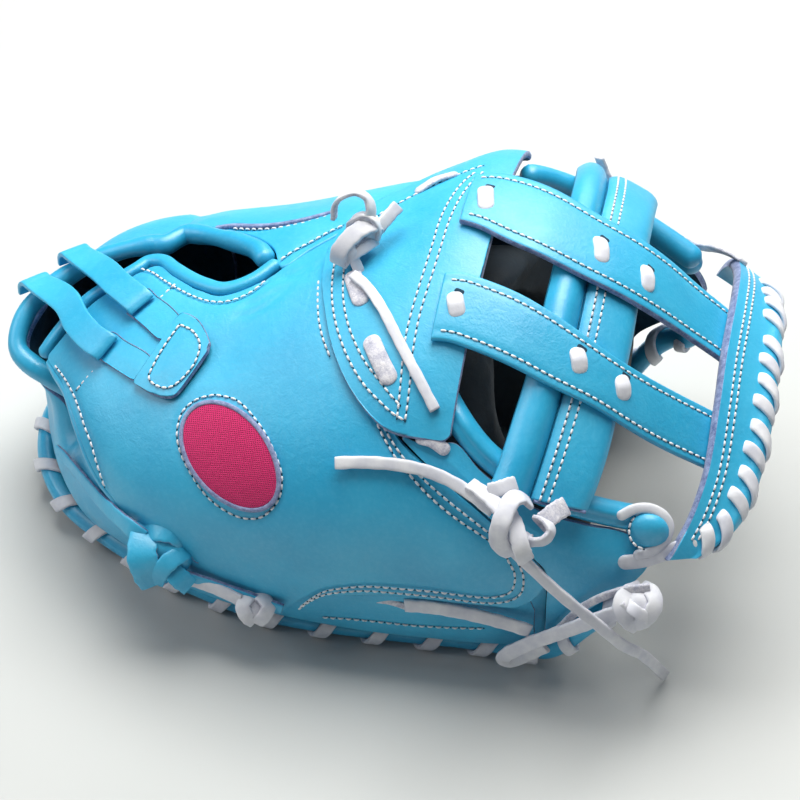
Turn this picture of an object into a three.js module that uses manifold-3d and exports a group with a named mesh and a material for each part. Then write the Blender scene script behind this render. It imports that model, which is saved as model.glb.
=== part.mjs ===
// A softball catcher mitt for the left hand, lying palm side down on its rim.
// Millimetres. +X runs from the wrist to the tip of the web, +Y to the finger side, +Z up from the ground.
// The back of the mitt is one body surface, given by a row of numbers for each cross-section. A place on it
// is a station x and an angle: 0 at the thumb side, 90 along the top, 180 at the finger side, -90 and 270 at
// the rim. Every leather piece lies on that surface or at its own height over it.

import * as THREE from 'three';
import { mergeVertices } from 'three/addons/utils/BufferGeometryUtils.js';
import Module from 'manifold-3d';

const wasm = await Module();
wasm.setup();

const RAD = Math.PI / 180;
const MIDDLE = [5.5, -5.2, 0]; // puts the middle of the whole mitt's box over the origin
const GAP = 0.3; // clearance between pieces that touch

// Leather
const LEATHER = 3; // wall of the back and the heel
const FLANGE_LEATHER = 2.5; // flange under the thumb side's edge
const THIN_LEATHER = 2; // wrist tab and its loops
const STRAP_LEATHER = 3; // web straps
const PATCH_THICK = 1.6;
const CROSSBAR_THICK = 6; // padded bar across the web
const CROWN_THICK = 5; // band round the web's end
const CROWN_BASE = 4.3; // the band's under side over the body
const PANEL_TOP = LEATHER + 2 * GAP; // the base panel's face over the body
const PANEL_CURL = 4.5; // how far the panel's far corner lifts
const TAB_TOP = THIN_LEATHER + 2 * GAP; // the wrist tab's face over the body
const LEG_STEP = 0.2; // how much lower the tab's legs lie

// Rolled edges
const RIM_RADIUS = 5; // binding round the rim
const RIM_REST = 1.5; // the binding's height over the ground; the laces under it touch the ground
const ROLL_RADIUS = 5.5; // rolled cylinders along the thumb and finger ends
const BINDING_RADIUS = 3; // thumb side of the hand opening
const WRIST_ROLL_RADIUS = 4.5; // finger side of the hand opening, and the wrist
const LIP_CLEARANCE = 3.9; // from the heel's upper edge to the roll over it
const CROWN_ROLL_RADIUS = 3;
const CROWN_ROLL_SHIFT = 7.6; // from the crown's outer edge to the middle of the roll beside it
const CROWN_ROLL_LIFT = 2.5; // the roll's middle over the crown's under side

// Laces
const LACE_WIDTH = 5.2; // rawhide laces
const LACE_THICK = 2;
const TAIL_THICK = 2.4; // free ends, with bevelled corners
const TAIL_BEVEL = 0.6;
const PASS_WIDTH = 8; // laces seen through the base panel's slots
const PASS_THICK = 1.6;
const PASS_LIFT = 0.4; // their clearance over the panel
const HEEL_LACE_WIDTH = 8; // flat blue lace at the heel
const HEEL_LACE_THICK = 2.4;
const LOOP_WIDTH = 13; // leather loops over the wrist roll
const LOOP_CLEARANCE = 3.4;
const RIM_LACE_PITCH = 23.5;
const CROWN_LACE_PITCH = 14.5;
const WHIP_STEPS = 6; // steps in each turn of a wound lace
const WHIP_CLEARANCE = 0.38; // beyond GAP, for the flats between those steps

const COLOURS = {
  leather: [0x58bfe3, 0.45],
  lining: [0x1c5f86, 0.8],
  rawhide: [0xf2efe9, 0.6],
  patch: [0xdc1e6e, 0.75],
};

// A table with named columns; at(x) gives every column at station x, on a cubic curve through the rows.
class Table {
  constructor(columns, rows) {
    this.columns = columns;
    this.rows = rows;
    this.stations = rows.map((row) => row[0]);
    this.slopes = rows.map((row, i) => row.map((value, j) => this.slope(i, j)));
  }

  slope(i, j) {
    const { rows } = this;
    const last = rows.length - 1;
    const rise = (a, b) => (rows[b][j] - rows[a][j]) / (rows[b][0] - rows[a][0]);
    if (i === 0) return rise(0, 1);
    if (i === last) return rise(last - 1, last);
    const before = rows[i][0] - rows[i - 1][0];
    const after = rows[i + 1][0] - rows[i][0];
    return (rise(i - 1, i) * after + rise(i, i + 1) * before) / (before + after);
  }

  at(x) {
    const { stations, rows, slopes } = this;
    let i = 0;
    while (i < stations.length - 2 && stations[i + 1] < x) i += 1;
    const h = stations[i + 1] - stations[i];
    const t = (x - stations[i]) / h;
    const cubic = (j) =>
      (2 * t ** 3 - 3 * t ** 2 + 1) * rows[i][j] +
      (t ** 3 - 2 * t ** 2 + t) * h * slopes[i][j] +
      (3 * t ** 2 - 2 * t ** 3) * rows[i + 1][j] +
      (t ** 3 - t ** 2) * h * slopes[i + 1][j];
    return Object.fromEntries(this.columns.map((name, j) => [name, cubic(j)]));
  }
}

// Cross-sections of the back: centre line y, half widths to the thumb and finger sides, height of the top,
// extra height of the finger shoulder, height of the widest line, height of the rim and its inset under it.
const BODY = new Table(
  ['x', 'centre', 'near', 'far', 'top', 'lift', 'belly', 'rim', 'inset'],
  [
    [-165, 18, 50, 52, 98, 0, 62, 18, 18],
    [-140, 14, 78, 72, 112, 0, 62, 14, 22],
    [-105, 10, 95, 85, 124, 0, 62, 8, 20],
    [-60, 8, 104, 95, 135, 4, 64, 5, 20],
    [-10, 8, 107, 102, 145, 18, 66, 3, 20],
    [35, 8, 104, 106, 150, 36, 66, 3, 20],
    [80, 8, 97, 106, 138, 38, 62, 6, 20],
    [115, 8, 86, 99, 118, 36, 60, 24, 14],
    [140, 8, 74, 88, 102, 32, 62, 45, 8],
  ],
);

// Back leather, a row for each station: the angles between which each piece runs.
const THUMB_SHELL = [
  [-150.5, 44.5, 46],
  [-145, 42.5, 55.5],
  [-136, 39, 70.5],
  [-126, 28.5, 79],
  [-117.5, 18, 86],
  [-110, 10, 88.4],
  [-101.5, 4, 84.5],
  [-92, -5, 80.8],
  [-84, -28, 78.4],
  [-72.5, -41, 76.6],
  [-60, -45, 79.6],
  [-50, -46.5, 84.5],
  [-40, -46.5, 90],
  [-30, -43, 95],
  [-22, -31, 99.5],
  [-17, -25, 100],
  [-11, -22, 74],
  [-3, -18.5, 59],
  [6, -16, 50],
  [19, -13.5, 39.5],
  [31.5, -13, 33.5],
  [43, -12.6, 29],
  [53.5, -12, 25],
  [64, -11.4, 20.6],
  [74, -10.5, 16.5],
  [80, -6, 12],
  [85, 3, 7],
];
const FINGER_SHELL = [
  [-110, 112, 236],
  [-99, 111, 236],
  [-88, 107, 236],
  [-76, 102.6, 236],
  [-66, 98, 236],
  [-58, 93, 236],
  [-50, 85, 236],
  [-40, 90.5, 236],
  [-30, 95.5, 236],
  [-22, 100, 236],
  [-17, 101, 236],
  [-11, 112, 236],
  [-3, 121, 236],
  [6, 130, 236],
  [19, 140.5, 236],
  [31.5, 146.5, 236],
  [53.5, 155, 236],
  [74, 163.5, 232],
  [85, 172, 226],
];
const THUMB_FLANGE = [
  [-50, -54, -60],
  [-38, -42, -60],
  [-24, -28, -59],
  [-10, -17, -58],
  [8, -12, -58],
  [30, -9, -58],
  [54, -8, -58],
  [70, -7, -58],
  [77, -6, -56],
  [82, -18, -44],
];
const THUMB_LOBE = [
  [21, 39, 39.6],
  [31.5, 34, 38],
  [43, 29.5, 39.4],
  [53.5, 25.5, 34.6],
  [64, 21.1, 31.2],
  [74, 17, 28.6],
  [80, 12.5, 27.6],
  [85.4, 7.5, 27],
  [86.9, -42, 26.8],
  [94, -25.5, 26.6],
  [102, -16, 26.4],
  [111, -5, 26.2],
  [119, 3, 24],
  [123.5, 9, 19],
  [125, 13, 15],
];
const FINGER_LOBE = [
  [21, 140.4, 141],
  [31.5, 142, 146],
  [43, 140.6, 150.2],
  [53.5, 145.4, 154.5],
  [64, 148.8, 158.8],
  [74, 151.4, 163],
  [80, 152.4, 167.5],
  [85.4, 153, 171.3],
  [86.9, 153.2, 220.5],
  [94, 153.4, 203.5],
  [102, 153.6, 194],
  [111, 153.8, 184.5],
  [119, 156, 177],
  [123.5, 161, 171],
  [125, 165, 167],
];
const BASE_PANEL = [
  [-29, 85, 88],
  [-27, 78, 94],
  [-22.5, 70.5, 101],
  [-15, 60.5, 106.5],
  [-5, 51.5, 112],
  [8, 43.5, 122],
  [18, 40, 131],
  [30, 39.2, 137],
  [38, 39.4, 138],
  [40.5, 41, 136],
];

// The web: for each station, the angles of a strap's two edges and the height of its under side.
const STRAP_UPPER = [
  [22.5, 89.5, 105, 4.4],
  [34, 88, 106, 4.7],
  [46, 85.5, 105.5, 5.2],
  [58, 84, 103.6, 6.7],
  [77, 83, 101.5, 7],
  [96, 83.6, 102, 6.7],
  [108, 85, 103.6, 4.6],
  [122, 87, 105.5, 1.6],
  [136, 88.5, 107.5, 0.5],
];
const STRAP_LOWER = [
  [23, 60.5, 75.5, 4.2],
  [31, 60.7, 76, 4.3],
  [42, 59.8, 75.2, 4.9],
  [58, 58.2, 73.5, 6.4],
  [74, 56.6, 71.4, 6.7],
  [92, 55.5, 69, 6.4],
  [106, 54.2, 68.8, 4.4],
  [122, 53, 69.6, 1.6],
  [137, 52, 70.5, 0.5],
];
// Crossbar: for each angle, the stations of both edges with the seam between, and the under side's height.
const CROSSBAR = [
  [31, 58, 74, 96, 3.9],
  [38, 60.5, 76, 98.5, 2.8],
  [48, 63, 78.5, 101, 1],
  [60, 65.5, 80.5, 102, 0],
  [80, 66.5, 81, 102, 0],
  [100, 66, 79.5, 100.5, 0],
  [118, 64, 77.5, 98.5, 1.6],
  [133, 61, 74.5, 96.5, 4.2],
];
// Crown: for each angle, the stations of its inner and outer edges.
const CROWN = [
  [12, 130, 135],
  [20, 131.8, 139.5],
  [34, 135, 146],
  [50, 137.6, 150],
  [70, 137, 151.5],
  [88.5, 135.8, 151],
  [107.5, 135.5, 149.5],
  [125.5, 134.5, 146.5],
  [142, 131, 140],
  [160, 126, 131.5],
];

// Rolled edges and rolls, as rows of station, angle and height over the body.
const OPENING_BINDING = [
  [-54.5, 86.5, -1],
  [-61, 82, -1],
  [-72.5, 79, -1],
  [-84, 80.8, -1],
  [-92, 83.2, -1],
  [-101.5, 87, -1],
  [-110, 91, -1],
  [-116.5, 91, -1],
  [-121, 87.4, -1],
  [-129.6, 81, -1],
  [-139.8, 72.6, -1],
  [-149, 57.8, -1],
  [-154.5, 46, -1],
];
const WRIST_ROLL_FAR = [
  [-61, 90.2, -1.5],
  [-66, 94, -1.5],
  [-76, 98.5, -1.5],
  [-88, 102.9, -1.5],
  [-99, 106.9, -1.5],
  [-107, 107.8, -1],
];
const TIP_ROLL = [
  [44, 44, -3],
  [53.5, 39.2, -3],
  [64, 35.8, -3],
  [74, 33.2, -3],
  [90, 31.5, -3],
  [118, 30.8, -3],
];

// Wrist tab: the pad and its two legs, a row for each station.
const TAB_PAD = [
  [-98.5, 47.3, 47.8],
  [-94, 46.2, 55.5],
  [-90, 45.2, 62.7],
  [-86.5, 44.8, 68.9],
  [-83.5, 44.5, 69],
  [-78, 45.5, 67.5],
  [-73, 51.5, 64.5],
  [-70, 56, 62],
  [-68.5, 58.5, 60.5],
];
const TAB_LEG_UPPER = [
  [-113.5, 68.3, 68.7],
  [-109, 66.8, 77.4],
  [-101, 63.9, 74.5],
  [-93.5, 61, 71.7],
  [-87, 61, 68.4],
  [-82, 62.5, 64.5],
];
const TAB_LEG_LOWER = [
  [-125, 53.3, 53.7],
  [-118.5, 52, 61.5],
  [-108, 49.7, 59.3],
  [-97.5, 48, 57],
  [-90, 50, 54],
];
// Turns of the heel where the wrist roll passes over its lip.
const LIP_TURNS = [104, 118, 132, 146, 158, 170, 182, 194, 206, 218, 228];
// Each loop: the turn where it passes over the wrist roll, and the rows of its end on the tab's leg.
const LOOP_UPPER = {
  turn: 167,
  end: [
    [-128, 81.5, 6.5],
    [-118, 75.5, 7],
    [-111.5, 73, 6],
    [-107.5, 71.6, 4.4],
  ],
};
const LOOP_LOWER = {
  turn: 183,
  end: [
    [-142, 69.5, 6],
    [-131, 61.5, 7],
    [-121.5, 57.4, 6],
    [-117, 56.4, 4.4],
  ],
};
const LOOP_ROUND = [185, 150, 115, 85]; // angles of a loop's points round the wrist roll

// Oval patch: its centre as station and angle, and its half axes as steps of both.
const PATCH = { x: -49.5, angle: 31, long: [17, -12.75], short: [14.5, 5.5] };
const PATCH_ROWS = 12;
const PATCH_TIP = 0.02; // share of a half turn left off at each end of the oval

// Heel: ribs that fan out from a pivot, with the radius and height of the lip, shoulder, belly and foot.
const HEEL_PIVOT = [-110, 12];
const HEEL_RADIUS = 61;
const HEEL_FLARE = 5; // how much wider the heel's rim stands at its two ends
const HEEL_RISE = 15; // the rim binding's height over its rest at the middle of the heel
const HEEL_RISE_ENDS = 4; // and at the heel's two ends
const HEEL_SPAN = { from: 94, to: 284.6, ribs: 16, steps: 6 };
const RIM_HEEL_SPAN = { from: 242, to: 118, ribs: 8 };
const HEEL = new Table(
  ['turn', 'lipR', 'lipZ', 'shoulderR', 'shoulderZ', 'bellyR', 'bellyZ', 'footR', 'footZ'],
  [
    [92, 24, 117, 58, 104, 80, 62, 70, 24],
    [120, 26, 115, 55, 101, 74, 60, 67, 27],
    [146, 31, 112, 52, 98, 69, 58, 64, 29],
    [170, 47, 101, 60, 86, 66, 54, 62, 30],
    [187, 59, 90, 62, 76, 62, 50, 61, 30],
    [202, 66, 78, 60, 67, 58, 46, 60, 30],
    [213, 62, 69, 58, 61, 57, 44, 60, 29],
    [226, 54, 62, 58, 54, 61, 41, 62, 28],
    [240, 57, 52, 63, 47, 67, 37, 66, 26],
    [256, 66, 68, 74, 56, 77, 40, 74, 25],
    [270, 84, 74, 90, 60, 89, 42, 81, 24],
    [286, 96, 66, 100, 52, 99, 38, 95, 24],
  ],
);

// Middle of the rim binding from the thumb end to the heel, and from the heel to the finger end: x, y and
// height over its rest.
const RIM_THUMB = [
  [119, -72.5, 46],
  [111, -76.5, 40],
  [102, -78, 30],
  [94, -76.5, 17],
  [86, -73.5, 5.6],
  [74, -71.2, 0.8],
  [52, -71.5, 0],
  [19, -75, 0],
  [-20, -78, 0],
  [-47, -77, 0],
  [-74, -71.5, 1],
  [-96, -66, 3],
];
const RIM_FINGER = [
  [-96, 80, 3],
  [-74, 85, 1],
  [-40, 89, 0],
  [-4, 91, 0],
  [32, 93, 0],
  [60, 94.6, 0.2],
  [76, 97, 1],
  [86, 101, 5.6],
  [94, 104.5, 17],
  [102, 106, 30],
  [111, 104.5, 40],
  [119, 99, 46],
];

// Padded palm, measured inwards from the body's own section.
const PAD_OUTER = { side: 27, top: 36, belly: 4, rimSide: 16.9 };
const PAD_INNER = { side: 46, top: 55, belly: 6, rimSide: 31 };
const PAD_HEEL_OUTER = 41; // half widths of the heel's ribs
const PAD_HEEL_INNER = 27;
const PAD_HEEL_RISE = 7.2; // how far the palm's edge lifts at the heel
const PAD_RIM_DROP = 4.5; // the palm's edge under the body's rim, before it is flattened on the ground
const PAD_HEEL_TURNS = [250, 230, 210, 190, 170, 150, 130, 110];
const PAD_STEPS = 7;
const PAD_CREASE = 0.12; // degrees kept free on each side of the crease along the middle
// Ribs of the palm: station, angle where the rib starts and angle where it ends.
const PAD_RIBS = [
  [100, 20, -34],
  [92, 24, -56],
  [84, 29, -76],
  [72, 36, -90],
  [57, 50, -90],
  [43, 90, -90],
  [20, 90, -90],
  [-12, 90, -90],
  [-46, 90, -90],
  [-80, 90, -90],
  [-110, 90, -90],
];

// Laces. Rows over the body are station, angle and height; rows of a lace that stands off it are x, y and z.
const PANEL_KNOT = { at: [-15.5, 83, 8.6], size: [8, 5.5, 4.2] };
const PANEL_KNOT_LACE = [
  [-16, 84, 7.5],
  [-24, 95, 13],
  [-23, 100.5, 13],
  [-17, 99, 9],
  [-9, 94, 6.2],
  [-2, 91, 5.6],
];
const PASS_HEIGHT = PANEL_TOP + PASS_LIFT + PASS_THICK / 2;
const PANEL_PASS_UPPER = [
  [-13, 76.6, PASS_HEIGHT],
  [-10.4, 74, PASS_HEIGHT],
  [-8, 71.4, PASS_HEIGHT],
];
const PANEL_PASS_MIDDLE = [
  [2.6, 60.2, PASS_HEIGHT],
  [7, 56.6, PASS_HEIGHT],
  [11.4, 53, PASS_HEIGHT],
];
const PANEL_TAIL = [
  [-11.5, 76.5, 7.8],
  [-4, 73.4, 7],
  [4.5, 68, 6.2],
  [14, 60.5, 5.6],
  [24.5, 52.5, 5.6],
  [33, 46, 5.4],
];
const CROSSBAR_KNOT = { at: [69.5, -95, 101], size: [7, 5, 8.5] };
const CROSSBAR_KNOT_LEFT = [
  [66, 25, 9],
  [64, 28, 7.5],
  [62.5, 29.2, 6],
];
const CROSSBAR_KNOT_RIGHT = [
  [68, 22, 8],
  [74, 21.5, 7.5],
  [79, 24, 7],
  [83, 28, 6.5],
];
const CROSSBAR_TAIL_LEFT = [
  [60.6, 26.6, 10],
  [48, 30, 6],
  [36, 32, 4],
  [21, 33, 3.4],
  [5.5, 33, 3.6],
  [-3.5, 32.5, 4.2],
];
const CROSSBAR_TAIL_RIGHT = [
  [72.6, -98, 93.6],
  [93, -99.5, 75],
  [109, -98, 59.5],
  [119, -94, 46],
  [128, -84, 30],
  [137.3, -70, 4],
];
const TIP_LACE = [
  [128.4, 15, 6.4],
  [120, 12.4, 2.4],
  [111, 14.6, 1.5],
  [109.2, 18.2, 1.5],
  [114, 19.6, 2.6],
  [122, 21.5, 3.2],
  [126, 27, 3.4],
  [122.4, 32.6, 3.8],
  [116, 35, 3.9],
  [109, 36, 3.9],
];
const RIM_KNOT = { at: [118, -85, 59.5], size: [8, 5.5, 7] };
const RIM_KNOT_LACE = [
  [112, -85.5, 62],
  [104, -87.5, 60],
  [92, -89.5, 51],
  [76.6, -90.5, 38],
  [69.6, -88.5, 25],
  [73, -87.5, 16.5],
  [86, -86.5, 21],
  [102, -88.5, 36],
  [112, -87.5, 51],
];
const FINGER_TIP_LACE = [
  [110, 147, 3.7],
  [117, 146, 4.1],
  [124, 141.5, 7],
  [130, 138, 9],
  [135, 134, 10.2],
];
const CROSSBAR_FAR_LACE = [
  [90, 137.6, 3.6],
  [80, 139, 4.5],
  [71, 138, 10.4],
  [67, 136, 14.4],
];
const HEEL_KNOT = { at: [-81.5, -97.8, 45.5], size: [13, 5.5, 11] };
const HEEL_KNOT_LACE = [
  [-150.3, -41.5, 40],
  [-143.9, -49.2, 42],
  [-137.2, -59, 43.5],
  [-128.4, -67.9, 46],
  [-116.3, -77.8, 48.5],
  [-103.3, -83.3, 49],
  [-94, -93.5, 47.5],
  [-86, -97.4, 46],
];
const HEEL_LACE = { at: [-39.5, -99.2, 25.5], size: [6.5, 5, 6.5] };
const HEEL_LACE_ROUTE = [
  [-66.5, -97.6, 35.5],
  [-54, -98.6, 31.5],
  [-42, -99.6, 27.5],
];
const HEEL_TAIL = [
  [-68.9, -98.6, 43.9],
  [-57, -98.6, 41.5],
  [-42, -98.8, 38.2],
  [-25, -98.8, 34],
];
// Directions that the faces of the free laces look to.
const TO_THUMB_SIDE = new THREE.Vector3(0, -1, 0);
const TO_HEEL = new THREE.Vector3(-0.5, -0.86, 0);

// Point of a cross-section at an angle, in the plane x = station.
function sectionPoint(x, row, angle) {
  const c = Math.cos(angle * RAD);
  const s = Math.sin(angle * RAD);
  const width = c > 0 ? row.near : row.far;
  const side = c > 0 ? -1 : 1;
  if (s >= 0) {
    const rise = (row.top - row.belly) * s + (row.lift * s * (1 - c)) / 2;
    return new THREE.Vector3(x, row.centre - width * c, row.belly + rise);
  }
  const reach = width - row.inset * (1 - Math.abs(c));
  return new THREE.Vector3(x, row.centre + side * reach, row.belly + (row.belly - row.rim) * s);
}

const bodyPoint = (x, angle) => sectionPoint(x, BODY.at(x), angle);

function bodyNormal(x, angle) {
  const along = bodyPoint(x + 0.5, angle).sub(bodyPoint(x - 0.5, angle));
  const round = bodyPoint(x, angle + 0.5).sub(bodyPoint(x, angle - 0.5));
  return along.cross(round).normalize();
}

// Point at a height over the body surface.
const over = (x, angle, height) => bodyPoint(x, angle).addScaledVector(bodyNormal(x, angle), height);

// Closed solid between two matching grids of points; rows or columns may close up into a point or a fold.
function wallSolid(grid) {
  const ids = new Map();
  const skin = [];
  const back = [];
  const idOf = ({ outer, inner }) => {
    const key = outer.toArray().map((value) => Math.round(value * 1000)).join();
    if (!ids.has(key)) {
      ids.set(key, skin.length);
      skin.push(outer);
      back.push(inner);
    }
    return ids.get(key);
  };
  const index = grid.map((line) => line.map(idOf));
  const faces = [];
  const addFace = (a, b, c) => {
    if (a !== b && b !== c && a !== c) faces.push([a, b, c]);
  };
  for (let i = 0; i < grid.length - 1; i += 1) {
    for (let j = 0; j < grid[i].length - 1; j += 1) {
      addFace(index[i][j], index[i + 1][j], index[i + 1][j + 1]);
      addFace(index[i][j], index[i + 1][j + 1], index[i][j + 1]);
    }
  }
  const edges = new Set(faces.flatMap(([a, b, c]) => [`${a},${b}`, `${b},${c}`, `${c},${a}`]));
  const shift = skin.length;
  const triangles = faces.flatMap(([a, b, c]) => [a, b, c, c + shift, b + shift, a + shift]);
  for (const edge of edges) {
    const [p, q] = edge.split(',').map(Number);
    if (!edges.has(`${q},${p}`)) triangles.push(q, p, p + shift, q, p + shift, q + shift);
  }
  return solidGeometry([...skin, ...back], triangles);
}

// Indexed geometry with its faces turned outwards.
function solidGeometry(points, triangles) {
  let volume = 0;
  for (let i = 0; i < triangles.length; i += 3) {
    const [a, b, c] = triangles.slice(i, i + 3).map((k) => points[k]);
    volume += a.dot(b.clone().cross(c));
  }
  const order = volume > 0 ? triangles : triangles.toReversed();
  const geometry = new THREE.BufferGeometry();
  geometry.setAttribute('position', new THREE.Float32BufferAttribute(points.flatMap((p) => p.toArray()), 3));
  geometry.setIndex(order);
  return geometry;
}

// Leather between two angles at each station, thick, with its outer face at a height over the body.
function conform(rows, across, height, thick) {
  const heightAt = typeof height === 'function' ? height : () => height;
  return wallSolid(
    rows.map((row) => {
      const [x, low, high] = row;
      return Array.from({ length: across + 1 }, (_, j) => {
        const angle = low + ((high - low) * j) / across;
        const top = heightAt(row, j / across, angle);
        return { outer: over(x, angle, top), inner: over(x, angle, top - thick) };
      });
    }),
  );
}

// Solid swept through matching loops of points, closed by a fan at each end.
function sweptSolid(loops) {
  const count = loops[0].length;
  const triangles = [];
  for (let i = 0; i < loops.length - 1; i += 1) {
    for (let j = 0; j < count; j += 1) {
      const a = i * count + j;
      const b = i * count + ((j + 1) % count);
      triangles.push(a, b, b + count, a, b + count, a + count);
    }
  }
  const last = (loops.length - 1) * count;
  for (let j = 1; j < count - 1; j += 1) {
    triangles.push(0, j + 1, j, last, last + j, last + j + 1);
  }
  return solidGeometry(loops.flat(), triangles);
}

// Sections of a strip, as steps across its width and through its thickness.
const flatSection = (width, thick) => [
  [-width / 2, -thick / 2],
  [width / 2, -thick / 2],
  [width / 2, thick / 2],
  [-width / 2, thick / 2],
];
const bevelSection = (width, thick, bevel) => [
  [-width / 2, -thick / 2 + bevel],
  [-width / 2 + bevel, -thick / 2],
  [width / 2 - bevel, -thick / 2],
  [width / 2, -thick / 2 + bevel],
  [width / 2, thick / 2 - bevel],
  [width / 2 - bevel, thick / 2],
  [-width / 2 + bevel, thick / 2],
  [-width / 2, thick / 2 - bevel],
];
const LACE_SECTION = flatSection(LACE_WIDTH, LACE_THICK);
const TAIL_SECTION = bevelSection(LACE_WIDTH, TAIL_THICK, TAIL_BEVEL);
const PASS_SECTION = flatSection(PASS_WIDTH, PASS_THICK);
const HEEL_LACE_SECTION = flatSection(HEEL_LACE_WIDTH, HEEL_LACE_THICK);
const LOOP_SECTION = flatSection(LOOP_WIDTH, THIN_LEATHER);

// Strip along points, each with the direction that its upper face looks to.
function strip(points, normals, section = LACE_SECTION) {
  return sweptSolid(
    points.map((point, i) => {
      const ahead = points[Math.min(i + 1, points.length - 1)];
      const behind = points[Math.max(i - 1, 0)];
      const along = ahead.clone().sub(behind).normalize();
      const side = along.clone().cross(normals[i]).normalize();
      const up = side.clone().cross(along).normalize();
      return section.map(([s, u]) => point.clone().addScaledVector(side, s).addScaledVector(up, u));
    }),
  );
}

// Round tube along a curve.
function tube(extrudePath, radius, steps, halfSides = 4) {
  const section = new THREE.Shape().absarc(0, 0, radius, 0, 2 * Math.PI, false);
  return new THREE.ExtrudeGeometry(section, { extrudePath, steps, curveSegments: halfSides });
}

// Flat lace wound round a tube along a curve: turns of a helix whose upper face looks outwards.
function whipping(curve, pitch, tubeRadius) {
  const radius = (tubeRadius + GAP) / Math.cos(Math.PI / WHIP_STEPS) + LACE_THICK / 2 + WHIP_CLEARANCE;
  const steps = Math.floor(curve.getLength() / pitch) * WHIP_STEPS;
  const points = [];
  const normals = [];
  for (let i = 0; i <= steps; i += 1) {
    const t = i / steps;
    const along = curve.getTangentAt(t);
    const side = along.clone().cross(new THREE.Vector3(0, 0, 1)).normalize();
    const up = side.clone().cross(along);
    const angle = (i / WHIP_STEPS) * 2 * Math.PI;
    const out = side.multiplyScalar(Math.cos(angle)).addScaledVector(up, Math.sin(angle));
    points.push(curve.getPointAt(t).addScaledVector(out, radius));
    normals.push(out);
  }
  return strip(points, normals);
}

function toManifold(geometry) {
  const bare = geometry.clone();
  bare.deleteAttribute('normal');
  bare.deleteAttribute('uv');
  const merged = mergeVertices(bare, 1e-4);
  return new wasm.Manifold(
    new wasm.Mesh({
      numProp: 3,
      vertProperties: merged.getAttribute('position').array,
      triVerts: new Uint32Array(merged.index.array),
    }),
  );
}

function fromManifold(solid) {
  const mesh = solid.getMesh();
  const geometry = new THREE.BufferGeometry();
  geometry.setAttribute('position', new THREE.BufferAttribute(mesh.vertProperties.slice(), 3));
  geometry.setIndex(new THREE.BufferAttribute(mesh.triVerts.slice(), 1));
  return geometry;
}

const join = (...parts) => fromManifold(parts.map(toManifold).reduce((sum, part) => sum.add(part)));

// The part of a solid that lies over the ground.
function flattened(geometry) {
  const ground = new THREE.BoxGeometry(600, 400, 100).translate(0, 0, -50);
  return fromManifold(toManifold(geometry).subtract(toManifold(ground)));
}

const vectors = (rows) => rows.map(([x, y, z]) => new THREE.Vector3(x, y, z));
const smooth = (points) => new THREE.CatmullRomCurve3(points);

// Smooth line over the body through rows of station, angle and height, as places to put points at.
const trail = (rows, steps) => smooth(vectors(rows)).getPoints(steps);
const overTrail = (rows, steps) => trail(rows, steps).map((p) => over(p.x, p.y, p.z));

// Strip that lies over the body, and one that hangs free with its face to one direction.
const laid = (rows, steps, section) =>
  strip(overTrail(rows, steps), trail(rows, steps).map((p) => bodyNormal(p.x, p.y)), section);
const hung = (rows, steps, face, section) => {
  const line = smooth(vectors(rows)).getPoints(steps);
  return strip(line, line.map(() => face), section);
};

// Faceted lump of a drawn-up knot.
const lump = (centre, size) => new THREE.IcosahedronGeometry(1, 1).scale(...size).translate(...centre);

const mitt = new THREE.Group();
mitt.name = 'softball_catcher_mitt';
mitt.position.set(...MIDDLE);

function place(name, geometry, finish = 'leather') {
  const [color, roughness] = COLOURS[finish];
  const mesh = new THREE.Mesh(geometry, new THREE.MeshStandardMaterial({ color, roughness, metalness: 0 }));
  mesh.name = name;
  mitt.add(mesh);
}

// Rib of the palm's section on one side, from its start angle down to the rim.
function padRow(x, inset) {
  const row = BODY.at(x);
  return {
    ...row,
    near: row.near - inset.side,
    far: row.far - inset.side,
    top: row.top - inset.top,
    belly: row.belly - inset.belly,
    rim: row.rim - PAD_RIM_DROP,
    inset: row.inset + inset.rimSide - inset.side,
  };
}

function padRib(x, start, end) {
  return Array.from({ length: PAD_STEPS + 1 }, (_, j) => {
    const angle = start + ((end - start) * j) / PAD_STEPS;
    return {
      outer: sectionPoint(x, padRow(x, PAD_OUTER), angle),
      inner: sectionPoint(x, padRow(x, PAD_INNER), angle),
    };
  });
}

// Rib of the palm's heel, turned round the pivot; it becomes the side rib at 90 and 270 degrees.
function padHeelRib(turn) {
  const sideShare = Math.sin(turn * RAD) ** 10;
  const at = (inset, heelWidth, rimRadius, angle) => {
    const row = padRow(HEEL_PIVOT[0], inset);
    const side = turn > 180 ? row.near : row.far;
    const foot = side - row.inset;
    const width = heelWidth + (side - heelWidth) * sideShare;
    const rim = rimRadius + (foot - rimRadius) * sideShare;
    const even = { ...row, centre: 0, near: width, far: width, inset: width - rim };
    const flat = sectionPoint(0, { ...even, rim: row.rim + PAD_HEEL_RISE * (1 - sideShare) }, 180 - angle);
    const x = HEEL_PIVOT[0] + flat.y * Math.cos(turn * RAD);
    const y = row.centre + flat.y * Math.sin(turn * RAD);
    return new THREE.Vector3(x, y, flat.z);
  };
  return Array.from({ length: PAD_STEPS + 1 }, (_, j) => {
    const angle = 90 - (180 * j) / PAD_STEPS;
    return {
      outer: at(PAD_OUTER, PAD_HEEL_OUTER, HEEL_RADIUS - PAD_OUTER.rimSide, angle),
      inner: at(PAD_INNER, PAD_HEEL_INNER, HEEL_RADIUS - PAD_INNER.rimSide, angle),
    };
  });
}

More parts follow.
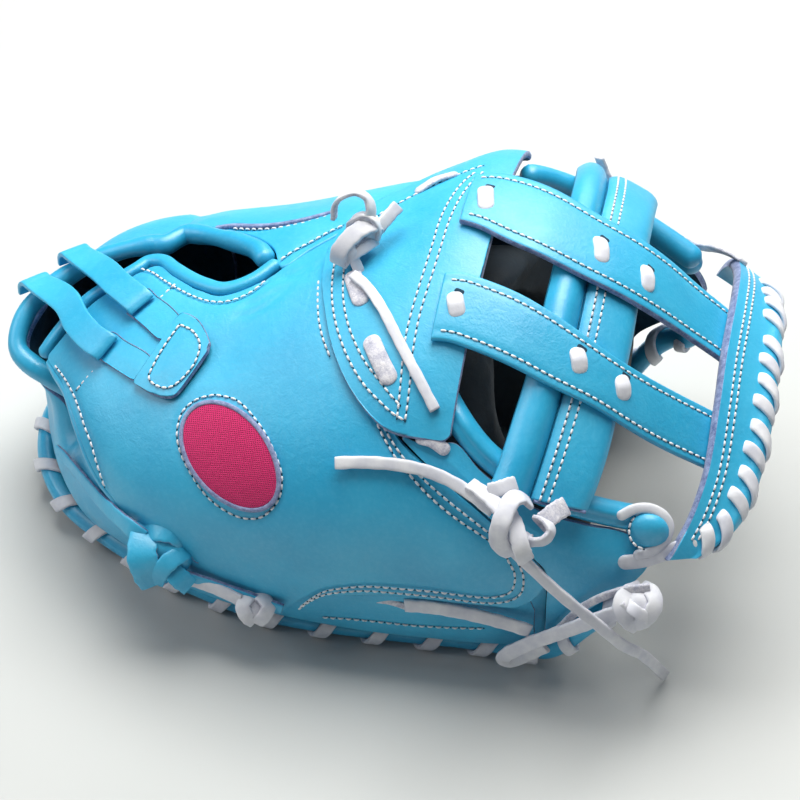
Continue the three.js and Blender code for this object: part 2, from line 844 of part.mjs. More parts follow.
// The palm in three pads: thumb side, finger side and heel. The side pads meet at the crease in the middle.
const padStart = (start) => Math.min(start, 90 - PAD_CREASE);
const thumbPadRibs = () => PAD_RIBS.map(([x, start, end]) => padRib(x, padStart(start), end));
const fingerPadRibs = () => PAD_RIBS.map(([x, start, end]) => padRib(x, 180 - padStart(start), 180 - end));
function heelPadRibs() {
  const [x, start, end] = PAD_RIBS[PAD_RIBS.length - 1];
  const side = x - GAP;
  return [
    padRib(side, start, end),
    ...PAD_HEEL_TURNS.map(padHeelRib),
    padRib(side, 180 - start, 180 - end),
  ];
}

// Heel wall: a curve through lip, shoulder, belly and foot at each turn, its inner face set in by LEATHER.
function heelPanel() {
  const { from, to, ribs, steps } = HEEL_SPAN;
  const turns = Array.from({ length: ribs + 1 }, (_, i) => from + ((to - from) * i) / ribs);
  const surface = turns.map((turn) => {
    const row = HEEL.at(turn);
    const profile = new THREE.CatmullRomCurve3([
      new THREE.Vector3(row.lipR, 0, row.lipZ),
      new THREE.Vector3(row.shoulderR, 0, row.shoulderZ),
      new THREE.Vector3(row.bellyR, 0, row.bellyZ),
      new THREE.Vector3(row.footR, 0, row.footZ),
    ]);
    return profile.getPoints(steps).map((p) => heelPoint(turn, p.x, p.z));
  });
  return wallSolid(
    surface.map((line, i) =>
      line.map((outer, j) => {
        const ahead = surface[Math.min(i + 1, surface.length - 1)][j];
        const behind = surface[Math.max(i - 1, 0)][j];
        const down = line[Math.min(j + 1, line.length - 1)];
        const upper = line[Math.max(j - 1, 0)];
        const normal = down.clone().sub(upper).cross(ahead.clone().sub(behind)).normalize();
        return { outer, inner: outer.clone().addScaledVector(normal, -LEATHER) };
      }),
    ),
  );
}

function heelPoint(turn, radius, z) {
  const [x, y] = HEEL_PIVOT;
  return new THREE.Vector3(x + radius * Math.cos(turn * RAD), y + radius * Math.sin(turn * RAD), z);
}

function rimCurve() {
  const { from, to, ribs } = RIM_HEEL_SPAN;
  const heel = Array.from({ length: ribs + 1 }, (_, i) => {
    const turn = from + ((to - from) * i) / ribs;
    const rise = HEEL_RISE_ENDS + (HEEL_RISE - HEEL_RISE_ENDS) * Math.cos((turn - 180) * RAD) ** 2;
    return heelPoint(turn, HEEL_RADIUS + HEEL_FLARE * Math.sin(turn * RAD) ** 2, rise);
  });
  const lift = (point) => point.setZ(point.z + RIM_REST + RIM_RADIUS);
  return new THREE.CatmullRomCurve3([...vectors(RIM_THUMB), ...heel, ...vectors(RIM_FINGER)].map(lift));
}

place('palm_pad_thumb', flattened(wallSolid(thumbPadRibs())), 'lining');
place('palm_pad_finger', flattened(wallSolid(fingerPadRibs())), 'lining');
place('palm_pad_heel', flattened(wallSolid(heelPadRibs())), 'lining');
place('thumb_shell', conform(THUMB_SHELL, 8, 0, LEATHER));
place('finger_shell', conform(FINGER_SHELL, 8, 0, LEATHER));
place('heel_panel', heelPanel());
place('thumb_flange', conform(THUMB_FLANGE, 3, -LEATHER - 3 * GAP, FLANGE_LEATHER));
place('thumb_lobe', conform(THUMB_LOBE, 4, 0, LEATHER));
place('finger_lobe', conform(FINGER_LOBE, 4, 0, LEATHER));

const rim = rimCurve();
place('rim_binding', tube(rim, RIM_RADIUS, 52));
place('rim_lace', flattened(whipping(rim, RIM_LACE_PITCH, RIM_RADIUS)), 'rawhide');

// Height of the base panel's face; its far corner curls up off the body.
function panelHeight([x], share, angle) {
  const along = THREE.MathUtils.smoothstep(x, 5, 38);
  const round = THREE.MathUtils.smoothstep(angle, 108, 134);
  return PANEL_TOP + PANEL_CURL * along * round;
}

const strapHeight = (row) => row[3] + STRAP_LEATHER;
place('web_base_panel', conform(BASE_PANEL, 9, panelHeight, LEATHER));
place('web_strap_upper', conform(STRAP_UPPER, 2, strapHeight, STRAP_LEATHER));
place('web_strap_lower', conform(STRAP_LOWER, 2, strapHeight, STRAP_LEATHER));

// Padded bar across the web between two edges, given by station at each angle, with a rounded upper face.
function bar(rows, edges, thick, base) {
  const shares = [0, 0.12, 0.35, 0.65, 0.88, 1];
  const edgeShare = 0.45; // height of the bar's edges, as a share of its thickness
  return sweptSolid(
    rows.map((row) => {
      const [from, to] = edges(row);
      const low = base(row);
      const upper = shares.map((u) => {
        const height = low + thick * (edgeShare + (1 - edgeShare) * (1 - (2 * u - 1) ** 4));
        return over(from + (to - from) * u, row[0], height);
      });
      const lower = shares.filter((u, i) => i % 2 === 1 || u === 0).toReversed();
      return [...upper, ...lower.map((u) => over(from + (to - from) * u, row[0], low))];
    }),
  );
}

const barBase = (row) => row[4];
place('web_crossbar_roll', bar(CROSSBAR, (row) => [row[1], row[2] - GAP], CROSSBAR_THICK, barBase));
place('web_crossbar_flat', bar(CROSSBAR, (row) => [row[2], row[3]], CROSSBAR_THICK - 0.5, barBase));
place('web_crown', bar(CROWN, (row) => [row[1], row[2]], CROWN_THICK, () => CROWN_BASE));

// Middle of the wrist roll at a turn of the heel, off the lip along the heel's own slope.
function wristRollPoint(turn) {
  const row = HEEL.at(turn);
  const along = new THREE.Vector2(row.lipR - row.shoulderR, row.lipZ - row.shoulderZ).normalize();
  const reach = WRIST_ROLL_RADIUS + LIP_CLEARANCE;
  const radius = row.lipR + along.x * reach - (along.y * LEATHER) / 2;
  return heelPoint(turn, radius, row.lipZ + along.y * reach + (along.x * LEATHER) / 2);
}

const wristRoll = smooth([...WRIST_ROLL_FAR.map((row) => over(...row)), ...LIP_TURNS.map(wristRollPoint)]);
place('opening_binding', tube(smooth(overTrail(OPENING_BINDING, 36)), BINDING_RADIUS, 28, 3));
place('wrist_roll', tube(wristRoll, WRIST_ROLL_RADIUS, 32));

// Rolls along the thumb and finger ends: one on the thumb side, two side by side on the finger side.
const tipRoll = (rows) => tube(smooth(overTrail(rows, 12)), ROLL_RADIUS, 8, 5);
const fingerRoll = (shift) => TIP_ROLL.map(([x, angle, height]) => [x, 180 - angle + shift, height]);
place('thumb_tip_roll', tipRoll(TIP_ROLL));
place('finger_tip_roll_outer', tipRoll(fingerRoll(0)));
place('finger_tip_roll_inner', tipRoll(fingerRoll(-9)));

const tabLeg = (rows) => conform(rows, 2, TAB_TOP - LEG_STEP, THIN_LEATHER - 2 * LEG_STEP);
place(
  'wrist_tab',
  join(conform(TAB_PAD, 4, TAB_TOP, THIN_LEATHER), tabLeg(TAB_LEG_UPPER), tabLeg(TAB_LEG_LOWER)),
);

// Loop of thin leather over the wrist roll and down on to the tab's leg.
function wristLoop({ turn, end }) {
  const centre = wristRollPoint(turn);
  const landing = end.map((row) => over(...row));
  const inward = landing[0].clone().sub(centre).setZ(0).normalize();
  const reach = WRIST_ROLL_RADIUS + LOOP_CLEARANCE + THIN_LEATHER / 2;
  const round = LOOP_ROUND.map((angle) => {
    const out = inward.clone().multiplyScalar(Math.cos(angle * RAD));
    return centre.clone().addScaledVector(out.setZ(Math.sin(angle * RAD)), reach);
  });
  const faces = [
    ...round.map((point) => point.clone().sub(centre)),
    ...end.map(([x, angle]) => bodyNormal(x, angle)),
  ];
  return strip([...round, ...landing], faces, LOOP_SECTION);
}
place('wrist_loop_upper', wristLoop(LOOP_UPPER));
place('wrist_loop_lower', wristLoop(LOOP_LOWER));

// Rows of the oval patch: its two edges at each station.
function patchRows() {
  const { x, angle, long, short } = PATCH;
  const reach = Math.hypot(long[0], short[0]);
  const middle = Math.atan2(short[0], long[0]);
  const angleAt = (turn) => angle + long[1] * Math.cos(turn) + short[1] * Math.sin(turn);
  return Array.from({ length: PATCH_ROWS + 1 }, (_, i) => {
    const turn = Math.PI * (1 - PATCH_TIP - ((1 - 2 * PATCH_TIP) * i) / PATCH_ROWS);
    const ends = [angleAt(middle - turn), angleAt(middle + turn)];
    return [x + reach * Math.cos(turn), Math.min(...ends), Math.max(...ends)];
  });
}
place('oval_patch', conform(patchRows(), 4, 1.5 * GAP + PATCH_THICK, PATCH_THICK), 'patch');

// Roll along the crown's outer edge, with a lace wound round it.
const crownRollHeight = CROWN_BASE + CROWN_ROLL_LIFT;
const crownRows = CROWN.map(([angle, , outer]) => [outer + CROWN_ROLL_SHIFT, angle, crownRollHeight]);
const crownRoll = smooth(overTrail(crownRows, 18));
place('crown_roll', tube(crownRoll, CROWN_ROLL_RADIUS, 22, 3));
place('crown_lace', whipping(crownRoll, CROWN_LACE_PITCH, CROWN_ROLL_RADIUS), 'rawhide');

// Knots: lumps joined to the strips that leave them.
const panelKnot = lump(over(...PANEL_KNOT.at), PANEL_KNOT.size);
place('panel_knot', join(panelKnot, laid(PANEL_KNOT_LACE, 9)), 'rawhide');
place('panel_pass_upper', laid(PANEL_PASS_UPPER, 3, PASS_SECTION), 'rawhide');
place('panel_pass_middle', laid(PANEL_PASS_MIDDLE, 3, PASS_SECTION), 'rawhide');

const crossbarKnot = lump(CROSSBAR_KNOT.at, CROSSBAR_KNOT.size);
const crossbarKnotLaces = join(laid(CROSSBAR_KNOT_LEFT, 3), laid(CROSSBAR_KNOT_RIGHT, 6));
place('crossbar_knot', join(crossbarKnot, crossbarKnotLaces), 'rawhide');
place('crossbar_far_lace', laid(CROSSBAR_FAR_LACE, 6), 'rawhide');
place('tip_lace', laid(TIP_LACE, 16), 'rawhide');
place('finger_tip_lace', laid(FINGER_TIP_LACE, 7), 'rawhide');

const rimKnot = lump(RIM_KNOT.at, RIM_KNOT.size);
place('rim_knot', join(rimKnot, hung(RIM_KNOT_LACE, 16, TO_THUMB_SIDE)), 'rawhide');

// Heel: a flat blue lace over the rim to its own knot, and a white lace that ends in a knot.
const heelKnot = lump(HEEL_KNOT.at, HEEL_KNOT.size);
place('heel_knot', join(heelKnot, hung(HEEL_KNOT_LACE, 8, TO_HEEL, HEEL_LACE_SECTION)));
const heelLaceKnot = lump(HEEL_LACE.at, HEEL_LACE.size);
place('heel_lace', join(heelLaceKnot, hung(HEEL_LACE_ROUTE, 4, TO_THUMB_SIDE)), 'rawhide');

// Free ends of the laces.
place('panel_tail', laid(PANEL_TAIL, 9, TAIL_SECTION), 'rawhide');
place('crossbar_tail_left', laid(CROSSBAR_TAIL_LEFT, 9, TAIL_SECTION), 'rawhide');
place('crossbar_tail_right', hung(CROSSBAR_TAIL_RIGHT, 9, TO_THUMB_SIDE, TAIL_SECTION), 'rawhide');
place('heel_tail', hung(HEEL_TAIL, 6, TO_THUMB_SIDE, TAIL_SECTION));

export default mitt;
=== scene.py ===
"""A softball catcher mitt for the left hand, dressed over its solid model.

Lengths in the tables are millimetres in the solid model's own axes: x from the wrist to the tip of the web,
y to the finger side, z up from the ground. A place on the back is a station x and an angle a in degrees:
0 at the thumb side, 90 along the top, 180 at the finger side, -90 and 270 at the rim.
"""
import math

import bmesh
import bpy
import numpy as np
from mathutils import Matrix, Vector


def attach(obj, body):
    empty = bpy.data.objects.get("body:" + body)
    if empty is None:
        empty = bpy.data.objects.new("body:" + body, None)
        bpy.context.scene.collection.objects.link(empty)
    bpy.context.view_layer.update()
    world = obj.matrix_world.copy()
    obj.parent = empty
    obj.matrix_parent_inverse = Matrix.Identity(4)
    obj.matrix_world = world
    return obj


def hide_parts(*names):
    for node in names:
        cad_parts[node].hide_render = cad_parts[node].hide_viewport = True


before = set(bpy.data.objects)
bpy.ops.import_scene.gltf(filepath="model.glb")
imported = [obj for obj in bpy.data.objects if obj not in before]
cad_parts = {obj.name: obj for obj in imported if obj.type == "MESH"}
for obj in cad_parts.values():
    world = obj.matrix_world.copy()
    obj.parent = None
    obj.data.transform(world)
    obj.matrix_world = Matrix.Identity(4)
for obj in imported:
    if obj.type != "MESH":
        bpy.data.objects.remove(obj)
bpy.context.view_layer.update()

MM = 0.001
MIDDLE = np.array([5.5, -5.2, 0.0])
UP = np.array([0.0, 0.0, 1.0])
VIEW_AZIMUTH, VIEW_ELEVATION, VIEW_ANGLE, VIEW_DISTANCE = 14.0, 42.0, 22.0, 920.0
VIEW_TARGET = np.array([1.4, 1.9, 71.6])
PICTURE = 800
FOCAL = PICTURE / 2 / math.tan(math.radians(VIEW_ANGLE / 2))
SIN_AZ, COS_AZ = math.sin(math.radians(VIEW_AZIMUTH)), math.cos(math.radians(VIEW_AZIMUTH))
SIN_EL, COS_EL = math.sin(math.radians(VIEW_ELEVATION)), math.cos(math.radians(VIEW_ELEVATION))
VIEW_RIGHT = np.array([COS_AZ, SIN_AZ, 0])
VIEW_TOP = np.array([-SIN_AZ * SIN_EL, COS_AZ * SIN_EL, COS_EL])
TO_CAMERA = np.array([SIN_AZ * COS_EL, -COS_AZ * COS_EL, SIN_EL])

# The back's surface

# x, centre line, half widths to the thumb and finger sides, top, extra finger shoulder, belly, rim, inset
BODY = np.array([
    [-165, 18, 50, 52, 98, 0, 62, 18, 18],
    [-140, 14, 78, 72, 112, 0, 62, 14, 22],
    [-105, 10, 95, 85, 124, 0, 62, 8, 20],
    [-60, 8, 104, 95, 135, 4, 64, 5, 20],
    [-10, 8, 107, 102, 145, 18, 66, 3, 20],
    [35, 8, 104, 106, 150, 36, 66, 3, 20],
    [80, 8, 97, 106, 138, 38, 62, 6, 20],
    [115, 8, 86, 99, 118, 36, 60, 24, 14],
    [140, 8, 74, 88, 102, 32, 62, 45, 8],
], float)


def table(rows, x):
    """Every column of the rows at x, on cubic pieces whose slopes weigh both neighbours by nearness."""
    rows, x = np.asarray(rows, float), np.asarray(x, float)
    step = np.diff(rows[:, :1], axis=0)
    rise = np.diff(rows, axis=0) / step
    middle = (rise[:-1] * step[1:] + rise[1:] * step[:-1]) / (step[1:] + step[:-1])
    slope = np.vstack([rise[:1], middle, rise[-1:]])
    i = np.clip(np.searchsorted(rows[:, 0], x) - 1, 0, len(rows) - 2)
    h = (rows[i + 1, 0] - rows[i, 0])[..., None]
    t = (x - rows[i, 0])[..., None] / h
    return (
        (2 * t**3 - 3 * t**2 + 1) * rows[i]
        + (t**3 - 2 * t**2 + t) * h * slope[i]
        + (3 * t**2 - 2 * t**3) * rows[i + 1]
        + (t**3 - t**2) * h * slope[i + 1]
    )


def section(x, row, a):
    """Point of a cross-section: an ellipse over the belly line, a pulled-in ellipse under it."""
    centre, near, far, top, lift, belly, rim, inset = row
    c, s = np.cos(np.radians(a)), np.sin(np.radians(a))
    width = np.where(c > 0, near, far)
    side = np.where(c > 0, -1, 1)
    y = np.where(s >= 0, centre - width * c, centre + side * (width - inset * (1 - np.abs(c))))
    upper = belly + (top - belly) * s + lift * s * (1 - c) / 2
    z = np.where(s >= 0, upper, belly + (belly - rim) * s)
    return np.stack([x, y, z], -1)


def body(x, a):
    """Points of the back at stations x and angles a."""
    x, a = np.broadcast_arrays(np.asarray(x, float), np.asarray(a, float))
    return section(x, np.moveaxis(table(BODY, x), -1, 0)[1:], a)


def unit(v):
    """Vectors scaled to length one."""
    return v / np.maximum(np.linalg.norm(v, axis=-1, keepdims=True), 1e-9)


def out_of(x, a):
    """Outward direction of the back: the cross product of its two central differences."""
    along = body(x + 0.5, a) - body(x - 0.5, a)
    across = body(x, a + 0.5) - body(x, a - 0.5)
    return unit(np.cross(along, across))


def over(x, a, h):
    """Point of the back plus h along its outward direction."""
    x, a, h = np.broadcast_arrays(*(np.asarray(v, float) for v in (x, a, h)))
    return body(x, a) + out_of(x, a) * h[..., None]


# Curves

def curve(points, count, dense=24):
    """Even points by length along the centripetal Catmull-Rom curve through the given rows."""
    p = np.asarray(points, float)
    p = np.vstack([2 * p[:1] - p[1:2], p, 2 * p[-1:] - p[-2:-1]])
    gap = np.maximum(np.linalg.norm(np.diff(p, axis=0), axis=1), 1e-4) ** 0.5
    p0, p1, p2, p3 = p[:-3], p[1:-2], p[2:-1], p[3:]
    d0, d1, d2 = (g[:, None] for g in (gap[:-2], gap[1:-1], gap[2:]))
    m1 = ((p1 - p0) / d0 - (p2 - p0) / (d0 + d1) + (p2 - p1) / d1) * d1
    m2 = ((p2 - p1) / d1 - (p3 - p1) / (d1 + d2) + (p3 - p2) / d2) * d1
    t = np.linspace(0, 1, dense, endpoint=False)[None, :, None]
    c2 = -3 * p1 + 3 * p2 - 2 * m1 - m2
    c3 = 2 * p1 - 2 * p2 + m1 + m2
    q = p1[:, None] + m1[:, None] * t + c2[:, None] * t**2 + c3[:, None] * t**3
    q = np.vstack([q.reshape(-1, p.shape[1]), p[-2:-1]])
    return even(q, count)


def even(line, count):
    """Points of a polyline at equal steps of its length."""
    s = np.concatenate([[0], np.cumsum(np.linalg.norm(np.diff(line, axis=0), axis=1))])
    t = np.linspace(0, s[-1], count)
    return np.stack([np.interp(t, s, line[:, k]) for k in range(line.shape[1])], -1)


def length_of(line):
    """Length of a polyline."""
    return float(np.linalg.norm(np.diff(line, axis=0), axis=1).sum())


def directions(line):
    """Unit tangents of a polyline from central differences."""
    return unit(np.gradient(line, axis=0))


def laid(rows, count, height=0.0):
    """Points and outward directions of a line over the back, through rows of station, angle and height."""
    r = curve(rows, count * 2)
    h = r[:, 2] if r.shape[1] > 2 else np.zeros(len(r))
    points = over(r[:, 0], r[:, 1], h + height)
    both = even(np.hstack([points, out_of(r[:, 0], r[:, 1])]), count)
    return both[:, :3], unit(both[:, 3:])


def near(points, line):
    """Distance from each point to the nearest point of a dense line."""
    flat = points.reshape(-1, 3)
    best = np.full(len(flat), 1e12)
    for part in np.array_split(line, max(1, len(line) // 48)):
        best = np.minimum(best, ((flat[:, None] - part[None]) ** 2).sum(-1).min(1))
    return np.sqrt(best).reshape(points.shape[:-1])


def seen(anchor, rows):
    """Points that the camera sees at the picture's places (right, down, how far before the anchor)."""
    rows = np.asarray(rows, float)
    depth = VIEW_DISTANCE - (np.asarray(anchor, float) - VIEW_TARGET) @ TO_CAMERA - rows[:, 2]
    sideways = (rows[:, 0] - PICTURE / 2) * depth / FOCAL
    upwards = (PICTURE / 2 - rows[:, 1]) * depth / FOCAL
    return (
        VIEW_TARGET + sideways[:, None] * VIEW_RIGHT + upwards[:, None] * VIEW_TOP
        + (VIEW_DISTANCE - depth)[:, None] * TO_CAMERA
    )


def sight(rows):
    """Points where the camera's ray through each picture place (right, down, y) meets the plane of that y."""
    rows = np.asarray(rows, float)
    eye = VIEW_TARGET + TO_CAMERA * VIEW_DISTANCE
    sideways, upwards = rows[:, :1] - PICTURE / 2, PICTURE / 2 - rows[:, 1:2]
    ray = sideways * VIEW_RIGHT + upwards * VIEW_TOP - TO_CAMERA * FOCAL
    return eye + ray * ((rows[:, 2:3] - eye[1]) / ray[:, 1:2])


# Meshes

def colour(code):
    """Linear colour of an sRGB hex code."""
    part = [int(code[i:i + 2], 16) / 255 for i in (0, 2, 4)]
    return tuple(c / 12.92 if c <= 0.04045 else ((c + 0.055) / 1.055) ** 2.4 for c in part) + (1.0,)


WELD = 2e-6  # metres
EDGE_BULGE = 0.26  # how far down its edge a sheet's rounding reaches, as a share of the edge
OFF_GROUND = 0.12  # the lowest that a swept piece lies


def make(name, points, faces, looks, face_looks=None, nodes=(), uv=None, smooth=True, weld=True):
    """Object from points in millimetres and faces; its normals are turned outwards after welding."""
    mesh = bpy.data.meshes.new(name)
    place = (np.asarray(points, float).reshape(-1, 3) + MIDDLE) * MM
    mesh.from_pydata(place.tolist(), [], faces)
    for look in looks:
        mesh.materials.append(look)
    if face_looks is not None:
        mesh.polygons.foreach_set("material_index", np.asarray(face_looks, np.int32))
    if uv is not None:
        layer = mesh.uv_layers.new(name="surface")
        corner = np.empty(len(mesh.loops), np.int32)
        mesh.loops.foreach_get("vertex_index", corner)
        layer.data.foreach_set("uv", np.asarray(uv, np.float32).reshape(-1, 2)[corner].ravel())
    if weld:
        work = bmesh.new()
        work.from_mesh(mesh)
        bmesh.ops.remove_doubles(work, verts=work.verts, dist=WELD)
        bmesh.ops.recalc_face_normals(work, faces=work.faces)
        work.to_mesh(mesh)
        work.free()
    if smooth:
        mesh.shade_smooth()
    mesh.validate()
    piece = bpy.data.objects.new(name, mesh)
    bpy.context.scene.collection.objects.link(piece)
    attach(piece, "root")
    if nodes:
        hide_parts(*nodes)
    return piece


def quads(rows, columns, wrap=False, start=0):
    """Faces of a grid of rows by columns, closed round the columns if wrap is set."""
    i = np.arange(rows - 1)[:, None] * columns
    j = np.arange(columns if wrap else columns - 1)[None]
    k = (j + 1) % columns
    grid = np.stack([i + j, i + columns + j, i + columns + k, i + k], -1)
    return (grid.reshape(-1, 4) + start).tolist()


def border(rows, columns):
    """Indices round the edge of a grid."""
    index = np.arange(rows * columns).reshape(rows, columns)
    return np.concatenate([index[0, :-1], index[:-1, -1], index[-1, :0:-1], index[:0:-1, 0]])


def shell(name, outer, inner, looks, nodes=(), rounding=0.6, uv=None):
    """Leather between two grids; its rim is a strip of three faces that bulges to the full outline."""
    n, m = outer.shape[:2]
    edge = border(n, m)
    top, low = outer.reshape(-1, 3).copy(), inner.reshape(-1, 3).copy()
    rim_out = top[edge] * (1 - EDGE_BULGE) + low[edge] * EDGE_BULGE
    rim_in = top[edge] * EDGE_BULGE + low[edge] * (1 - EDGE_BULGE)
    inwards = np.zeros_like(outer)
    inwards[0], inwards[-1] = outer[1] - outer[0], outer[-2] - outer[-1]
    inwards[:, 0] += outer[:, 1] - outer[:, 0]
    inwards[:, -1] += outer[:, -2] - outer[:, -1]
    pull = unit(inwards).reshape(-1, 3)[edge] * rounding
    top[edge] += pull
    low[edge] += pull
    count, ring = n * m, len(edge)
    points = np.vstack([top, low, rim_out, rim_in])
    here, ahead = np.arange(ring), (np.arange(ring) + 1) % ring
    first, second = 2 * count, 2 * count + ring
    bands = [
        np.stack([edge[here], edge[ahead], first + ahead, first + here], -1),
        np.stack([first + here, first + ahead, second + ahead, second + here], -1),
        np.stack([second + here, second + ahead, count + edge[ahead], count + edge[here]], -1),
    ]
    face = quads(n, m)
    back = [f[::-1] for f in quads(n, m, start=count)]
    rim = np.concatenate(bands).tolist()
    index = [0] * len(face) + [2 if len(looks) > 2 else 0] * len(back) + [1] * len(rim)
    full_uv = None
    if uv is not None:
        flat = uv.reshape(-1, 2)
        full_uv = np.vstack([flat, flat, flat[edge], flat[edge]])
    return make(name, points, face + back + rim, looks, index, nodes, full_uv)


def sweep(name, path, facing, outline, looks, outline_looks=None, grow=None, nodes=(), ends=True):
    """Closed outline (across, outwards) carried along a path; grow scales it at each point."""
    along = directions(path)
    side = unit(np.cross(along, facing))
    top = unit(np.cross(side, along))
    outline = np.asarray(outline, float)
    size = np.ones(len(path)) if grow is None else np.asarray(grow, float)
    size = size[:, None] if size.ndim == 1 else size
    flat = outline[None] * size[:, None]
    rings = path[:, None] + side[:, None] * flat[..., :1] + top[:, None] * flat[..., 1:2]
    rings[..., 2] = np.maximum(rings[..., 2], OFF_GROUND)
    n, k = rings.shape[:2]
    faces = quads(n, k, wrap=True)
    index = None
    if outline_looks is not None:
        index = np.tile(np.asarray(outline_looks, np.int32), n - 1).tolist()
    if ends:
        faces += [list(range(k))[::-1], list(range((n - 1) * k, n * k))]
        if index is not None:
            index += [1, 1]
    return make(name, rings, faces, looks, index, nodes)


def round_outline(radius, sides=20):
    """Circle as an outline."""
    t = np.arange(sides) * 2 * math.pi / sides
    return np.stack([np.cos(t), np.sin(t)], -1) * radius


def grooved_outline(radius, at, width, depth, sides=28):
    """Circle as an outline, pulled in by a bell curve round one angle."""
    t = np.arange(sides) * 2 * math.pi / sides
    apart = np.mod(t - at + math.pi, 2 * math.pi) - math.pi
    size = radius * (1 - depth * np.exp(-((apart / width) ** 2)))
    return np.stack([np.cos(t), np.sin(t)], -1) * size[:, None]


def strap_outline(width, thick, sides=16, power=4.0):
    """Rounded rectangle as an outline: a superellipse."""
    t = (np.arange(sides) + 0.5) * 2 * math.pi / sides
    c, s = np.cos(t), np.sin(t)
    return np.stack([
        np.sign(c) * np.abs(c) ** (2 / power) * width / 2,
        np.sign(s) * np.abs(s) ** (2 / power) * thick / 2,
    ], -1)


def flesh_sides(outline):
    """Look of each side of a lace: 0 on the grain side, 1 on its edges and flesh side."""
    middle = (outline + np.roll(outline, -1, axis=0)) / 2
    return (middle[:, 1] < 0.3 * np.abs(outline[:, 1]).max()).astype(int)


def lace(name, path, facing, width=5.2, thick=2.0, nodes=(), looks=None, slot="white_rawhide", taper=0.0):
    """Flat lace with a smooth upper side and a rough under side; taper narrows its last part."""
    outline = strap_outline(width, thick)
    n = len(path)
    wobble = 1 + 0.05 * np.sin(np.arange(n) * 0.55 + width) * np.sin(np.arange(n) * 0.17)
    grow = np.stack([wobble * (1 - taper * np.linspace(0, 1, n) ** 2), np.ones(n)], -1)
    return sweep(name, path, facing, outline, looks or [RAWHIDE, RAWHIDE_EDGE], flesh_sides(outline),
                 grow, nodes)


def rounded(path, radius):
    """Path and sizes of a tube whose two ends close as half balls."""
    t = np.linspace(0, math.pi / 2, 6)[:-1]
    along = directions(path)
    start = path[0] - along[0] * radius * 0.92 * np.cos(t)[:, None]
    end = path[-1] + along[-1] * radius * 0.92 * np.cos(t[::-1])[:, None]
    size = np.maximum(np.sin(t), 0.02)
    return np.vstack([start, path, end]), np.concatenate([size, np.ones(len(path)), size[::-1]])


def tube(name, path, radius, looks, nodes=(), facing=None, outline=None, grow=None):
    """Round tube with rounded ends."""
    line, size = rounded(path, radius)
    if grow is not None:
        size = size * np.concatenate([np.full(5, grow[0]), grow, np.full(5, grow[-1])])
    face = np.tile(UP, (len(line), 1)) if facing is None else np.vstack(
        [np.tile(facing[:1], (5, 1)), facing, np.tile(facing[-1:], (5, 1))])
    shape = round_outline(radius) if outline is None else outline
    return sweep(name, line, face, shape, looks, grow=size, nodes=nodes)


def pill(name, path, facing, width=7.0, thick=3.0, looks=None, nodes=(), slot="white_rawhide"):
    """Short lace with rounded ends."""
    return tube(name, path, width / 2, looks or [RAWHIDE], nodes, facing,
                strap_outline(width, thick, 20, 2.6))


# Materials

def fill(tree, node, sockets):
    """Fills a node's sockets with numbers or colours, or links them to other sockets."""
    for key, value in sockets.items():
        if isinstance(value, bpy.types.NodeSocket):
            tree.links.new(value, node.inputs[key])
        else:
            node.inputs[key].default_value = value


def add(tree, kind, sockets=None, output=0, **settings):
    """Adds one node with its properties and sockets, and gives one of its outputs."""
    node = tree.nodes.new(kind)
    for key, value in settings.items():
        setattr(node, key, value)
    fill(tree, node, sockets or {})
    return node.outputs[output]


def cells(size):
    """Scale of a pattern whose cells are so many millimetres wide."""
    return 1 / (size * MM)


def finish(name):
    """New material with its shader and object coordinates."""
    material = bpy.data.materials.new(name)
    material.use_nodes = True
    tree = material.node_tree
    shader = tree.nodes["Principled BSDF"]
    place = add(tree, "ShaderNodeTexCoord", output="Object")
    return material, tree, shader, place


def two_tone(tree, pattern, low, high, first, second, most=1.0):
    """Colour between two, as a pattern runs from low to high; the second one's share is at most the given."""
    share = add(tree, "ShaderNodeMapRange", {
        "Value": pattern, "From Min": low, "From Max": high, "To Min": 0.0, "To Max": most})
    return add(tree, "ShaderNodeMix", {"Factor": share, 6: first, 7: second}, 2, data_type="RGBA")


# Dyed cowhide, tanned and rolled smooth. It gives the eye soft clouds of colour, paler flecks, a pebbled
# grain with fine wrinkles, and a satin gloss that is uneven from handling. Widths of its marks:
PATCHES, FLECKS, PEBBLES, PORES, WRINKLES, RUBBED = 45.0, 2.1, 1.05, 0.45, 4.8, 17.0
LEATHER_SPECULAR = 0.8


